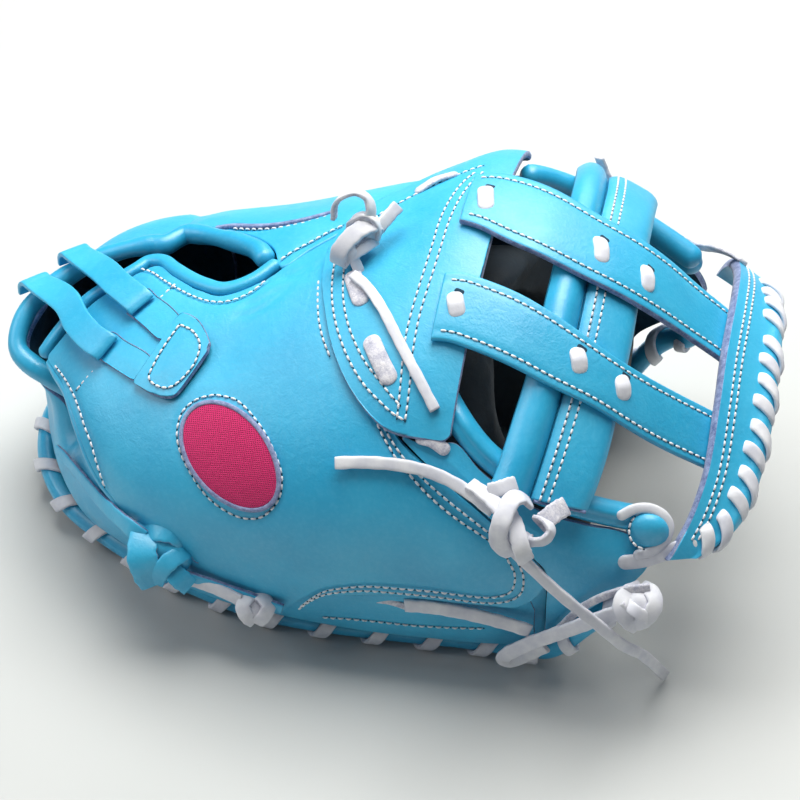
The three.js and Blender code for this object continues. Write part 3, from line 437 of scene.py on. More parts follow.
def leather(name, base, light, dark, rough=0.42, grain=0.35, creases=0.5):
    """Dyed leather: pebbled grain, fine creases, soft patches of colour and uneven gloss."""
    material, tree, shader, place = finish(name)
    patches = add(tree, "ShaderNodeTexNoise", {
        "Vector": place, "Scale": cells(PATCHES), "Detail": 3, "Roughness": 0.55})
    tone = two_tone(tree, patches, 0.35, 0.7, colour(dark), colour(base))
    fleck = add(tree, "ShaderNodeTexNoise", {
        "Vector": place, "Scale": cells(FLECKS), "Detail": 3, "Roughness": 0.6})
    tone = two_tone(tree, fleck, 0.45, 0.8, tone, colour(light), 0.22)
    wrinkles = add(tree, "ShaderNodeTexNoise", {
        "Vector": place, "Scale": cells(WRINKLES), "Detail": 4, "Roughness": 0.62, "Distortion": 0.8})
    bump = add(tree, "ShaderNodeBump", {"Strength": creases, "Distance": 0.6 * MM, "Height": wrinkles})
    pebble = add(tree, "ShaderNodeTexVoronoi", {
        "Vector": place, "Scale": cells(PEBBLES), "Randomness": 1.0})
    bump = add(tree, "ShaderNodeBump", {
        "Strength": grain, "Distance": 0.12 * MM, "Height": pebble, "Normal": bump})
    pores = add(tree, "ShaderNodeTexNoise", {
        "Vector": place, "Scale": cells(PORES), "Detail": 3, "Roughness": 0.6})
    bump = add(tree, "ShaderNodeBump", {
        "Strength": grain * 0.7, "Distance": 0.06 * MM, "Height": pores, "Normal": bump})
    rubbed = add(tree, "ShaderNodeTexNoise", {
        "Vector": place, "Scale": cells(RUBBED), "Detail": 3, "Roughness": 0.6})
    gloss = add(tree, "ShaderNodeMapRange", {
        "Value": rubbed, "From Min": 0.3, "From Max": 0.7, "To Min": rough - 0.06, "To Max": rough + 0.1})
    fill(tree, shader, {
        "Base Color": tone, "Normal": bump, "Roughness": gloss, "Specular IOR Level": LEATHER_SPECULAR})
    return material


# The cut edge and flesh side of hide, left as the knife leaves it. Its felted fibres scatter light, so it
# looks dull and two-toned, with a faint sheen. The fibres are drawn coarse enough to show.
FIBRES = 0.67
CLUMPS = 4.5  # a clump's width in fibres


def suede(name, base, light, fibre=FIBRES, strength=0.9, rough=0.92, sheen=0.25):
    """Raw cut or flesh side: felted fibres in two tones."""
    material, tree, shader, place = finish(name)
    fibres = add(tree, "ShaderNodeTexNoise", {
        "Vector": place, "Scale": cells(fibre), "Detail": 4, "Roughness": 0.75, "Distortion": 0.6})
    clumps = add(tree, "ShaderNodeTexNoise", {
        "Vector": place, "Scale": cells(fibre * CLUMPS), "Detail": 2, "Roughness": 0.6})
    felt = add(tree, "ShaderNodeMath", {0: fibres, 1: clumps}, operation="ADD")
    tone = two_tone(tree, felt, 0.75, 1.25, colour(base), colour(light))
    bump = add(tree, "ShaderNodeBump", {"Strength": strength, "Distance": 0.3 * MM, "Height": felt})
    fill(tree, shader, {"Base Color": tone, "Normal": bump, "Roughness": rough, "Sheen Weight": sheen})
    return material


# White rawhide lace, cut in strips. It looks chalky, a little cloudy and dented, with a fine grain.
CLOUDS, LACE_GRAIN, LACE_DENTS = 11.0, 0.7, 3.8


def rawhide(name):
    """White lace: cloudy white, fine grain, soft dents and a slightly waxy gloss."""
    material, tree, shader, place = finish(name)
    clouds = add(tree, "ShaderNodeTexNoise", {
        "Vector": place, "Scale": cells(CLOUDS), "Detail": 3, "Roughness": 0.6})
    tone = two_tone(tree, clouds, 0.35, 0.7, colour("CFD1DC"), colour("E9EAEE"))
    fine = add(tree, "ShaderNodeTexNoise", {
        "Vector": place, "Scale": cells(LACE_GRAIN), "Detail": 4, "Roughness": 0.7})
    bump = add(tree, "ShaderNodeBump", {"Strength": 0.45, "Distance": 0.14 * MM, "Height": fine})
    dents = add(tree, "ShaderNodeTexNoise", {
        "Vector": place, "Scale": cells(LACE_DENTS), "Detail": 2, "Roughness": 0.5})
    bump = add(tree, "ShaderNodeBump", {
        "Strength": 0.35, "Distance": 0.4 * MM, "Height": dents, "Normal": bump})
    fill(tree, shader, {"Base Color": tone, "Normal": bump, "Roughness": 0.55})
    return material


# Waxed sewing thread, twisted from plies. They show as a fine change from white to pale grey.
TWIST = 0.38


def thread(name, code, rough=0.55):
    """Waxed thread with a slight twist."""
    material, tree, shader, place = finish(name)
    twist = add(tree, "ShaderNodeTexNoise", {
        "Vector": place, "Scale": cells(TWIST), "Detail": 2, "Roughness": 0.5})
    tone = two_tone(tree, twist, 0.3, 0.7, colour("C9CDD6"), colour(code))
    bump = add(tree, "ShaderNodeBump", {"Strength": 0.5, "Distance": 0.1 * MM, "Height": twist})
    fill(tree, shader, {"Base Color": tone, "Normal": bump, "Roughness": rough})
    return material


# The inside of a punched hole, drawn as painted shade. Almost no light comes back out, so it reads as a
# nearly black blue.
PUNCHED = 1.1


def punched_hole(name):
    """Needle holes and slots: nearly black blue, painted shade."""
    material, tree, shader, place = finish(name)
    mottle = add(tree, "ShaderNodeTexNoise", {
        "Vector": place, "Scale": cells(PUNCHED), "Detail": 2, "Roughness": 0.5})
    tone = two_tone(tree, mottle, 0.0, 1.0, colour("0B2C3F"), colour("123F57"))
    fill(tree, shader, {"Base Color": tone, "Roughness": 0.9})
    return material


# Woven twill badge cloth. The threads cross at a slant and catch the light along their ridges. Real ones
# are finer. They are drawn this coarse so that the render shows them.
TWILL_THREAD = 0.87
TWILL_SLANT = 0.35  # radians
WAVE_BAND = 2 * math.pi / 20  # width of one band of the wave texture at scale one


def twill(name):
    """Pink twill: two crossed sets of threads from the piece's own map, raised where they cross over."""
    material, tree, shader, place = finish(name)
    flat = add(tree, "ShaderNodeUVMap", uv_map="surface")
    heights = []
    for turn in (0.0, math.pi / 2):
        turned = add(tree, "ShaderNodeMapping", {"Vector": flat, "Rotation": (0, 0, turn + TWILL_SLANT)})
        heights.append(add(tree, "ShaderNodeTexWave", {
            "Vector": turned, "Scale": WAVE_BAND / TWILL_THREAD, "Distortion": 0.5, "Detail": 1.0},
            "Fac", wave_profile="SIN"))
    check = add(tree, "ShaderNodeMath", {0: heights[0], 1: heights[1]}, operation="MAXIMUM")
    tone = two_tone(tree, check, 0.3, 1.0, colour("A00848"), colour("E41272"))
    bump = add(tree, "ShaderNodeBump", {"Strength": 0.8, "Distance": 0.4 * MM, "Height": check})
    fill(tree, shader, {"Base Color": tone, "Normal": bump, "Roughness": 0.62, "Sheen Weight": 0.12})
    return material


BLUE = leather("blue_leather", "38B6DF", "66CAEA", "26A5D2", grain=0.3, creases=0.35)
BLUE_SMOOTH = leather(
    "blue_leather_rolled", "32B3DE", "58C4E8", "22A2D1", rough=0.36, grain=0.2, creases=0.3)
# The palm is seen only in shade through the web, so its colour is a guess: its blue leather is drawn nearly
# black, painted shade made dark enough to match the pocket there.
PALM_PAINTED_SHADE = leather("palm_leather", "07202E", "0C2B3C", "051823", rough=0.78, grain=0.4, creases=0.6)
RAW = suede("leather_raw_edge", "4F6190", "93A2C8", strength=0.7)
# The flesh side inside the mitt is drawn nearly black navy, darker than the leather is: painted shade of the
# hand cavity and pocket.
INSIDE_PAINTED_SHADE = suede("leather_inside", "0C3348", "15455F", fibre=1.1, strength=0.5, sheen=0.0)
RAWHIDE = rawhide("white_rawhide")
RAWHIDE_EDGE = suede("white_rawhide_flesh", "AEB0C4", "EDEBEF", fibre=0.9, strength=1.0)
THREAD = thread("white_thread", "F7F7F5")
HOLE_SHADE = punched_hole("needle_holes")
PATCH = twill("patch_fabric")
PATCH_EDGE = suede("patch_edge", "66749E", "9AA6CC", fibre=0.55, strength=0.5)


# Camera, light and floor

def camera():
    """Camera at the photograph's angle, looking at the target from the given distance."""
    data = bpy.data.cameras.new("photo_camera")
    data.sensor_width = 36.0
    data.lens = 18.0 / math.tan(math.radians(VIEW_ANGLE / 2))
    data.clip_start, data.clip_end = 0.02, 20
    piece = bpy.data.objects.new("photo_camera", data)
    bpy.context.scene.collection.objects.link(piece)
    back = Vector(TO_CAMERA)
    piece.location = Vector((VIEW_TARGET + MIDDLE) * MM) + back * VIEW_DISTANCE * MM
    piece.rotation_mode = "QUATERNION"
    piece.rotation_quaternion = (-back).to_track_quat("-Z", "Y")
    bpy.context.scene.camera = piece


def soft_light(name, place, size, power, tint="FFFFFF"):
    """Square area light that looks at the mitt."""
    data = bpy.data.lights.new(name, "AREA")
    data.shape, data.size, data.energy = "SQUARE", size, power
    data.color = colour(tint)[:3]
    piece = bpy.data.objects.new(name, data)
    piece.location = place
    piece.rotation_mode = "QUATERNION"
    piece.rotation_quaternion = (Vector((0, 0, 0.08)) - Vector(place)).to_track_quat("-Z", "Y")
    bpy.context.scene.collection.objects.link(piece)


FLOOR_CLOUDS = 165.0  # width of the floor's faint clouds


def studio():
    """Sky-like light from above, a little fill, and a pale floor."""
    world = bpy.data.worlds.new("soft_sky")
    world.use_nodes = True
    world.node_tree.nodes["Background"].inputs[0].default_value = colour("E8F0F8")
    world.node_tree.nodes["Background"].inputs[1].default_value = 0.14
    bpy.context.scene.world = world
    bpy.context.scene.view_settings.view_transform = "Standard"
    soft_light("sky_panel", (0.0, 0.32, 1.3), 1.0, 25.5, "FFFDF8")
    soft_light("back_panel", (0.1, 1.0, 0.95), 1.2, 9.0)
    soft_light("side_panel", (-1.1, -0.35, 0.95), 0.8, 6.0)
    floor = bpy.data.meshes.new("floor")
    floor.from_pydata([(-4, -4, 0), (4, -4, 0), (4, 4, 0), (-4, 4, 0)], [], [(0, 1, 2, 3)])
    material, tree, shader, place = finish("pale_floor")
    clouds = add(tree, "ShaderNodeTexNoise", {
        "Vector": place, "Scale": cells(FLOOR_CLOUDS), "Detail": 3, "Roughness": 0.5})
    tone = two_tone(tree, clouds, 0.0, 1.0, colour("C2C5C4"), colour("CBCDCC"))
    fill(tree, shader, {"Base Color": tone, "Roughness": 0.85})
    floor.materials.append(material)
    piece = bpy.data.objects.new("floor", floor)
    bpy.context.scene.collection.objects.link(piece)


# Free lace ends

LACE_WIDTH, TAIL_THICK = 5.2, 2.6
PANEL_TAIL = [
    [-11.5, 76.5, 7.8], [-4, 73.4, 7], [4.5, 68, 6.2], [14, 60.5, 5.6], [24.5, 52.5, 5.6], [33, 46, 5.4]]
CROSSBAR_TAIL_LEFT = [
    [60.6, 26.6, 10], [48, 30, 6], [36, 32, 4], [21, 33, 3.4], [5.5, 33, 3.6], [-3.5, 32.5, 4.2]]
CROSSBAR_TAIL_RIGHT = [
    [72.6, -98, 93.6], [93, -99.5, 75], [109, -98, 59.5], [119, -94, 46], [128, -84, 30], [137.3, -70, 4]]
HEEL_TAIL = [[-68.9, -98.6, 43.9], [-57, -98.6, 41.5], [-42, -98.8, 38.2], [-25, -98.8, 34]]


def free_end(name, path, facing, width=LACE_WIDTH, looks=None, slot="white_rawhide"):
    """One free lace end on its route."""
    piece = lace(name, path, facing, width, TAIL_THICK, [name], looks, slot)


def free_ends():
    """The four free lace ends: two over the back, one down to the ground, one along the heel."""
    free_end("panel_tail", *laid(PANEL_TAIL, 90), 4.4)
    free_end("crossbar_tail_left", *laid(CROSSBAR_TAIL_LEFT, 90))
    path = curve(CROSSBAR_TAIL_RIGHT, 90)
    free_end("crossbar_tail_right", path, np.linspace([0.1, -1.0, 0.1], [0.3, -0.7, 0.75], 90), 4.8)
    path = curve(HEEL_TAIL, 60)
    free_end("heel_tail", path, np.tile([0.0, -1.0, 0.0], (60, 1)), looks=[BLUE, RAW], slot="blue_leather")


# Stitches

STITCH_PITCH, STITCH_LENGTH, STITCH_RADIUS = 3.5, 2.5, 0.5


def stitches(name, seams, pitch=STITCH_PITCH):
    """Rows of thread: every stitch is six rings of six points that dip into the leather at both ends,
    with a dark disc of painted shade for the needle hole between it and the next."""
    places, along, facing = [], [], []
    for points, faces in seams:
        count = max(2, int(round(length_of(points) / pitch)))
        both = even(np.hstack([points, faces]), count * 8 + 1)
        places.append(both[4::8, :3])
        along.append(unit(both[7::8, :3][:count] - both[1::8, :3][:count]))
        facing.append(unit(both[4::8, 3:]))
    centre, tangent, normal = (np.vstack(v) for v in (places, along, facing))
    side = unit(np.cross(tangent, normal))
    t = np.array([-1.0, -0.78, -0.3, 0.3, 0.78, 1.0])
    width = np.array([0.35, 0.85, 1.0, 1.0, 0.85, 0.35])
    rise = np.array([-0.75, 0.05, 0.4, 0.4, 0.05, -0.75])
    turn = np.arange(6) * math.pi / 3
    ring = centre[:, None, None] + tangent[:, None, None] * (t * STITCH_LENGTH / 2)[None, :, None, None]
    swing = side[:, None, None] * np.cos(turn)[None, None, :, None]
    swing = swing + normal[:, None, None] * np.sin(turn)[None, None, :, None] * 0.8
    ring = ring + swing * (width * STITCH_RADIUS)[None, :, None, None]
    ring = ring + normal[:, None, None] * (rise * STITCH_RADIUS)[None, :, None, None]
    n = len(centre)
    one = np.array(quads(6, 6, wrap=True))
    faces = (one[None] + (np.arange(n) * 36)[:, None, None]).reshape(-1, 4).tolist()
    caps = np.array([[0, 1, 2, 3, 4, 5][::-1], [30, 31, 32, 33, 34, 35]])
    faces += (caps[None] + (np.arange(n) * 36)[:, None, None]).reshape(-1, 6).tolist()
    make(name, ring, faces, [THREAD], weld=False)
    # Dark discs between stitches: painted shade of the needle holes.
    gap = centre + tangent * pitch / 2
    flat = np.arange(8) * math.pi / 4
    disc = gap[:, None] + (side[:, None] * np.cos(flat)[None, :, None] * 0.38
                           + tangent[:, None] * np.sin(flat)[None, :, None] * 0.5) + normal[:, None] * 0.14
    top = gap[:, None] + normal[:, None] * 0.2
    low = gap[:, None] - normal[:, None] * 0.3
    spots = np.concatenate([disc, top, low], 1)
    fan = [[i, (i + 1) % 8, 8] for i in range(8)] + [[(i + 1) % 8, i, 9] for i in range(8)]
    faces = (np.array(fan)[None] + (np.arange(n) * 10)[:, None, None]).reshape(-1, 3).tolist()
    make(name + "_holes", spots, faces, [HOLE_SHADE], weld=False)


def seam(rows, height=0.0):
    """A stitch line over the back, at a height."""
    count = 40 + 12 * len(rows)
    return laid(rows, count, height)


# Back leather

THUMB_SHELL = [
    [-150.5, 44.5, 46], [-145, 42.5, 55.5], [-136, 39, 70.5], [-126, 28.5, 79], [-117.5, 18, 86],
    [-110, 10, 88.4], [-101.5, 4, 84.5], [-92, -5, 80.8], [-84, -28, 78.4], [-72.5, -41, 76.6],
    [-60, -45, 79.6], [-50, -46.5, 84.5], [-40, -46.5, 90], [-30, -43, 95], [-22, -31, 99.5],
    [-17, -25, 100], [-11, -22, 74], [-3, -18.5, 59], [6, -16, 50], [19, -13.5, 39.5], [31.5, -13, 33.5],
    [43, -12.6, 29], [53.5, -12, 25], [64, -11.4, 20.6], [74, -10.5, 16.5], [80, -6, 12], [85, 3, 7]]
FINGER_SHELL = [
    [-110, 112, 236], [-99, 111, 236], [-88, 107, 236], [-76, 102.6, 236], [-66, 98, 236], [-58, 93, 236],
    [-50, 85, 236], [-40, 90.5, 236], [-30, 95.5, 236], [-22, 100, 236], [-17, 101, 236], [-11, 112, 236],
    [-3, 121, 236], [6, 130, 236], [19, 140.5, 236], [31.5, 146.5, 236], [53.5, 155, 236],
    [74, 163.5, 232], [85, 172, 226]]
THUMB_FLANGE = [
    [-50, -54, -60], [-38, -42, -60], [-24, -28, -59], [-10, -17, -58], [8, -12, -58], [30, -9, -58],
    [54, -8, -58], [70, -7, -58], [77, -6, -56], [82, -18, -44]]
THUMB_LOBE = [
    [21, 39, 39.6], [31.5, 34, 38], [43, 29.5, 39.4], [53.5, 25.5, 34.6], [64, 21.1, 31.2],
    [74, 17, 28.6], [80, 12.5, 27.6], [85.4, 7.5, 27], [86.9, -42, 26.8], [94, -25.5, 26.6],
    [102, -16, 26.4], [111, -5, 26.2], [119, 3, 24], [123.5, 9, 19], [125, 13, 15]]
FINGER_LOBE = [
    [21, 140.4, 141], [31.5, 142, 146], [43, 140.6, 150.2], [53.5, 145.4, 154.5], [64, 148.8, 158.8],
    [74, 151.4, 163], [80, 152.4, 167.5], [85.4, 153, 171.3], [86.9, 153.2, 220.5], [94, 153.4, 203.5],
    [102, 153.6, 194], [111, 153.8, 184.5], [119, 156, 177], [123.5, 161, 171], [125, 165, 167]]
BASE_PANEL = [
    [-29, 85, 88], [-27, 78, 94], [-22.5, 70.5, 101], [-15, 60.5, 106.5], [-5, 51.5, 112], [8, 43.5, 122],
    [18, 40, 131], [30, 39.2, 137], [38, 39.4, 138], [40.5, 41, 136]]
GUSSET = [[79, -48, 6], [84, -46, 8], [90, -38, 4], [98, -27, -6], [104, -18, -12]]
FINGER_GUSSET = [
    [-24, 96, 106], [-11, 104, 118], [-3, 108, 127], [6, 116, 136], [19, 125, 146], [31, 132, 151],
    [42, 136, 153]]
SHELL_WELT = [
    [-92, 107.8, 0.5], [-84, 107.6, 0.9], [-74, 105.8, 1.0], [-64, 104.8, 1.0], [-52, 105.2, 1.0],
    [-44, 106.2, 1.0], [-36, 108.2, 0.6]]
LEATHER, FLANGE_LEATHER, GUSSET_LEATHER, PANEL_TOP, PANEL_CURL = 3.0, 2.5, 1.6, 3.6, 4.5

# Seams as stations and angles.
OPENING_SEAM = [
    [-118, 86.5], [-111.5, 85], [-103, 81.5], [-95, 78.6], [-87, 76.2], [-78.5, 74.4], [-70.5, 74],
    [-64.5, 75], [-58.5, 77.4], [-54.5, 80.6]]
PATCH_RING = [
    [-61.5, 47.5], [-51.5, 46.5], [-41.5, 42], [-33, 36], [-26, 27.5], [-26, 21.5], [-31.5, 15.5],
    [-38, 13.5], [-46, 14], [-57, 18], [-66, 24.5], [-72.5, 31], [-75, 36], [-74.5, 41.5], [-69.5, 45.5],
    [-61.5, 47.5]]
HEEL_EDGE_SEAM = [
    [-144, 44.5], [-136, 42], [-129, 38], [-124.5, 34], [-120.5, 29.5], [-115.5, 24], [-111.5, 17.5],
    [-107, 9.5]]
RIGHT_SEAMS = [
    [[8, 44.5], [12, 40.6], [16.5, 37], [20.5, 34], [27.5, 30], [33.5, 26.8], [42, 23], [50.5, 20],
     [58.5, 17.5], [66, 14.6]],
    [[12.5, 42], [17.5, 38.2], [24, 34], [33.5, 29.3], [41, 26.2], [49.5, 23], [59, 19.5], [66, 16.8]]]
FLANGE_SEAMS = [
    [[-19, -32], [-14, -24.5], [-7, -17.5], [1.5, -13.5], [12, -10.8], [24, -10], [40.5, -9.3],
     [56.5, -9], [66.5, -7.8], [73, -4.5], [76, 0.5], [76, 6.5], [73, 12]],
    [[-18, -29.5], [-12.5, -21.5], [-6, -14.8], [2.5, -10.8], [13, -8], [25, -7.2], [40.5, -6.4],
     [55, -6], [64, -5], [70, -2], [72.5, 2], [72.5, 7], [69, 12]]]
PANEL_SHADOW_SEAM = [[-30, 79], [-27.6, 73.5], [-24.6, 68], [-20.4, 62.8], [-15.5, 58.2]]
PANEL_SEAMS = [
    [[-24, 86], [-22.5, 79], [-19.5, 72], [-15.2, 65.8], [-9.6, 60], [-3.4, 55], [3.4, 50.6], [10, 47.4],
     [16, 44.8], [21.5, 43.2]],
    [[-19.5, 86], [-18, 79.5], [-15, 72.5], [-10.6, 66.3], [-4.8, 60.8], [1.6, 56], [8.5, 52],
     [14.5, 48.6], [19, 46.4]],
    [[25, 110.5], [21.5, 105], [19, 98], [17.8, 91], [17.8, 84.5], [17.4, 78.5], [16.8, 73], [16.2, 67.5],
     [16, 62], [16.6, 57], [17.6, 51.5], [18.3, 46.5], [18.6, 43.4]],
    [[28.4, 110.5], [25, 104], [22.8, 97], [21.8, 90], [21.6, 83.5], [21.2, 78], [20.5, 72.5],
     [19.8, 67.2], [19.8, 62], [20.2, 57], [21.2, 52], [21.8, 46.5], [22, 43]]]
PANEL_TOP_SEAM = [[-13.5, 96], [-8, 99.5], [-2, 102.4], [4, 105], [11.5, 108], [19, 111], [27, 114]]
CROWN_SEAM_SHIFTS = (4.6, 7.2)
TOP_SEAMS = [
    [[-52, 87.4], [-48, 90], [-41, 93.4], [-34, 97], [-29, 99]],
    [[-84, 106.5], [-74, 104.6], [-64, 103.6], [-52, 104], [-44, 105], [-36, 107]]]
CREASES = [
    [[-54, 83], [-48, 82.4], [-40.5, 81], [-33.5, 80.4], [-30, 80]],
    [[-55, 80.6], [-50, 80.8], [-44, 82], [-38, 83.4], [-31, 84]],
    [[-60, 73], [-54, 74], [-48, 76.5], [-42, 77.4]],
    [[-62, 70], [-56, 70.4], [-50, 72.5], [-45, 75.4]]]
DENTS = [[-64, 57.5, 15, 1.8], [-56, 66, 10, 0.7], [-20, 52, 22, 0.9], [-95, 30, 20, 0.9],
         [30, 8, 26, 1.0], [-40, -20, 26, 1.1]]
FINGER_DENTS = [[-60, 150, 24, 1.2], [10, 185, 26, 1.4]]


def groove(points, line, width, depth):
    """Channel along a line: minus depth times a bell curve of the distance."""
    return -depth * np.exp(-((near(points, line) / width) ** 2))


def relief(points, seams, creases=(), dents=(), fullness=0.8, inset=9.0):
    """Height added to leather: seams, creases and dents press it in, and it swells away from its edges."""
    edge = points.reshape(-1, 3)[border(*points.shape[:2])]
    rise = fullness * (1 - np.exp(-((near(points, edge) / inset) ** 2)))
    for rows in seams:
        rise = rise + groove(points, seam(rows)[0], 1.7, 0.5)
    for rows in creases:
        rise = rise + groove(points, seam(rows)[0], 1.6, 0.7)
    for x, a, radius, depth in dents:
        rise = rise - depth * np.exp(-(near(points, over(x, a, 0)[None]) / radius) ** 2)
    return rise


def conform(name, rows, across, along, height, thick, looks, nodes=(), seams=(), creases=(), dents=(),
            fullness=0.8, rounding=0.6):
    """Leather between two angles at each station, over the back at a height, with its own relief."""
    line = curve(rows, along)
    share = (1 - np.cos(np.linspace(0, math.pi, across))) / 2 * 0.5 + np.linspace(0, 1, across) * 0.5
    x = np.repeat(line[:, :1], across, 1)
    a = line[:, 1:2] + (line[:, 2:3] - line[:, 1:2]) * share
    h = height(x, a, line) if callable(height) else np.full(x.shape, float(height))
    points = over(x, a, h)
    top = over(x, a, h + relief(points, seams, creases, dents, fullness))
    return shell(name, top, over(x, a, h - thick), looks, nodes, rounding)


def panel_height(x, a, line=None):
    """Height of the base panel's face, whose far corner curls up."""
    def ease(v, low, high):
        t = np.clip((v - low) / (high - low), 0, 1)
        return t * t * (3 - 2 * t)
    return PANEL_TOP + PANEL_CURL * ease(x, 5, 38) * ease(a, 108, 134)


def back_leather():
    """The two shells, both lobes, the flange and the base panel."""
    looks = [BLUE, RAW, INSIDE_PAINTED_SHADE]
    conform("thumb_shell", THUMB_SHELL, 96, 190, 0, LEATHER, [BLUE, BLUE, INSIDE_PAINTED_SHADE], ["thumb_shell"],
            [OPENING_SEAM, PATCH_RING, HEEL_EDGE_SEAM, *RIGHT_SEAMS, *FLANGE_SEAMS], CREASES, DENTS, 1.2)
    conform("finger_shell", FINGER_SHELL, 96, 150, 0, LEATHER, [BLUE, BLUE, INSIDE_PAINTED_SHADE], ["finger_shell"],
            TOP_SEAMS, (), FINGER_DENTS, 1.2)
    conform("thumb_flange", THUMB_FLANGE, 16, 110, -LEATHER - 0.9, FLANGE_LEATHER, looks, ["thumb_flange"],
            fullness=0.3)
    conform("thumb_lobe", THUMB_LOBE, 60, 120, 0, LEATHER, looks, ["thumb_lobe"], fullness=1.4)
    conform("finger_lobe", FINGER_LOBE, 60, 120, 0, LEATHER, looks, ["finger_lobe"], fullness=1.4)
    conform("web_base_panel", BASE_PANEL, 110, 110, panel_height, LEATHER, looks, ["web_base_panel"],
            [*PANEL_SEAMS, PANEL_TOP_SEAM], fullness=0.5, rounding=0.8)
    conform("thumb_side_gusset", GUSSET, 24, 30, -LEATHER - 1.6, GUSSET_LEATHER, looks, fullness=0.2)
    conform("finger_side_gusset", FINGER_GUSSET, 24, 40, -LEATHER - 0.5, GUSSET_LEATHER, looks, fullness=0.2)
    edge = curve([[x, a - 1.5, -2.6] for x, a, b in THUMB_SHELL[:8]], 120)
    path, facing = laid(edge, 110)
    tube("thumb_shell_fold", path, 2.4, [BLUE_SMOOTH], facing=facing)
    stitches("stitches_shells", [seam(OPENING_SEAM, 0.6), seam(HEEL_EDGE_SEAM, 0.4), seam(PATCH_RING, 0.75)]
             + [seam(rows, 0.5) for rows in RIGHT_SEAMS + FLANGE_SEAMS]
             + [seam(PANEL_SHADOW_SEAM, 0.9)] + [seam(rows, 0.4) for rows in TOP_SEAMS])
    path, facing = laid(SHELL_WELT, 120)
    lace("finger_shell_welt", path, facing, 2.6, 1.8, (), [RAW, RAW], "blue_leather")
    lifted = [[[x, a, float(panel_height(np.array(x), np.array(a)))] for x, a in rows]
              for rows in [*PANEL_SEAMS, PANEL_TOP_SEAM]]
    stitches("stitches_base_panel", [seam(rows, 0.5) for rows in lifted])


# Heel

HEEL_PIVOT = (-110.0, 12.0)
HEEL = [
    [92, 24, 117, 58, 104, 80, 62, 70, 24], [120, 26, 115, 55, 101, 74, 60, 67, 27],
    [146, 31, 112, 52, 98, 69, 58, 64, 29], [170, 47, 101, 60, 86, 66, 54, 62, 30],
    [187, 59, 90, 62, 76, 62, 50, 61, 30], [202, 66, 78, 60, 67, 58, 46, 60, 30],
    [213, 62, 69, 58, 61, 57, 44, 60, 29], [226, 54, 62, 58, 54, 61, 41, 62, 28],
    [240, 57, 52, 63, 47, 67, 37, 66, 26], [256, 66, 68, 74, 56, 77, 40, 74, 25],
    [270, 84, 74, 90, 60, 89, 42, 81, 24], [286, 96, 66, 100, 52, 99, 38, 95, 24]]
WRIST_ROLL_FAR = [
    [-61, 90.2, -1.5], [-66, 94, -1.5], [-76, 98.5, -1.5], [-88, 102.9, -1.5], [-99, 106.9, -1.5],
    [-107, 107.8, -1]]
LIP_TURNS = [104, 118, 132, 146, 158, 170, 182, 194, 206, 218, 228]
WRIST_ROLL_RADIUS, LIP_CLEARANCE = 4.5, 3.9
OPENING_BINDING = [
    [-54.5, 86.5, -1], [-61, 82, -1], [-72.5, 79, -1], [-84, 80.8, -1], [-92, 83.2, -1], [-101.5, 87, -1],
    [-110, 91, -1], [-116.5, 91, -1], [-121, 87.4, -1], [-129.6, 81, -1], [-139.8, 72.6, -1],
    [-149, 57.8, -1], [-154.5, 46, -1]]
HEEL_FOOT_RADIUS = 61  # of the rim round the heel's pivot


def heel_point(turn, radius, z):
    """Point at a turn and radius round the heel's pivot."""
    t = np.radians(turn)
    return np.stack([HEEL_PIVOT[0] + radius * np.cos(t), HEEL_PIVOT[1] + radius * np.sin(t),
                     np.broadcast_to(z, np.shape(turn))], -1)


def heel_wall():
    """Heel leather: at each turn a curve through lip, shoulder, belly and foot."""
    turns = np.linspace(85, 284.6, 136)
    rows = table(HEEL, turns)
    rows[:, 1::2] -= 2.6 * np.clip((96 - turns) / 6, 0, 1)[:, None]
    ribs = np.stack([
        np.stack([heel_point(np.full(26, t), p[:, 0], p[:, 1])], 0)[0]
        for t, p in ((t, curve(r[1:].reshape(4, 2), 26)) for t, r in zip(turns, rows))])
    across = unit(np.cross(np.gradient(ribs, axis=1), np.gradient(ribs, axis=0)))
    rise = 0.9 * np.sin(np.linspace(0, math.pi, 26))[None] ** 0.6
    shell("heel_panel", ribs + across * rise[..., None], ribs - across * LEATHER,
          [BLUE, RAW, INSIDE_PAINTED_SHADE], ["heel_panel"])


def wrist_roll_point(turn):
    """Middle of the wrist roll over the heel's lip."""
    row = table(HEEL, np.array(float(turn)))
    along = unit(np.array([row[1] - row[3], row[2] - row[4]]))
    reach = WRIST_ROLL_RADIUS + LIP_CLEARANCE
    radius = row[1] + along[0] * reach - along[1] * LEATHER / 2
    return heel_point(np.array(float(turn)), radius, row[2] + along[1] * reach + along[0] * LEATHER / 2)


def rolled_edges():
    """Bindings of the hand opening."""
    far = over(*np.array(WRIST_ROLL_FAR).T)
    path = curve(np.vstack([far, [wrist_roll_point(t) for t in LIP_TURNS]]), 220)
    t = np.linspace(0, 1, 220)
    grow = 1 + 0.06 * np.sin(t * 23) + 0.05 * np.sin(t * 51 + 1)
    tube("wrist_roll", path, WRIST_ROLL_RADIUS, [BLUE_SMOOTH], ["wrist_roll"], grow=grow)
    path, facing = laid(OPENING_BINDING, 180)
    tube("opening_binding", path, 3.0, [BLUE_SMOOTH], ["opening_binding"], facing=facing,
         outline=strap_outline(6.6, 5.8, 20, 2.4))


# Rim

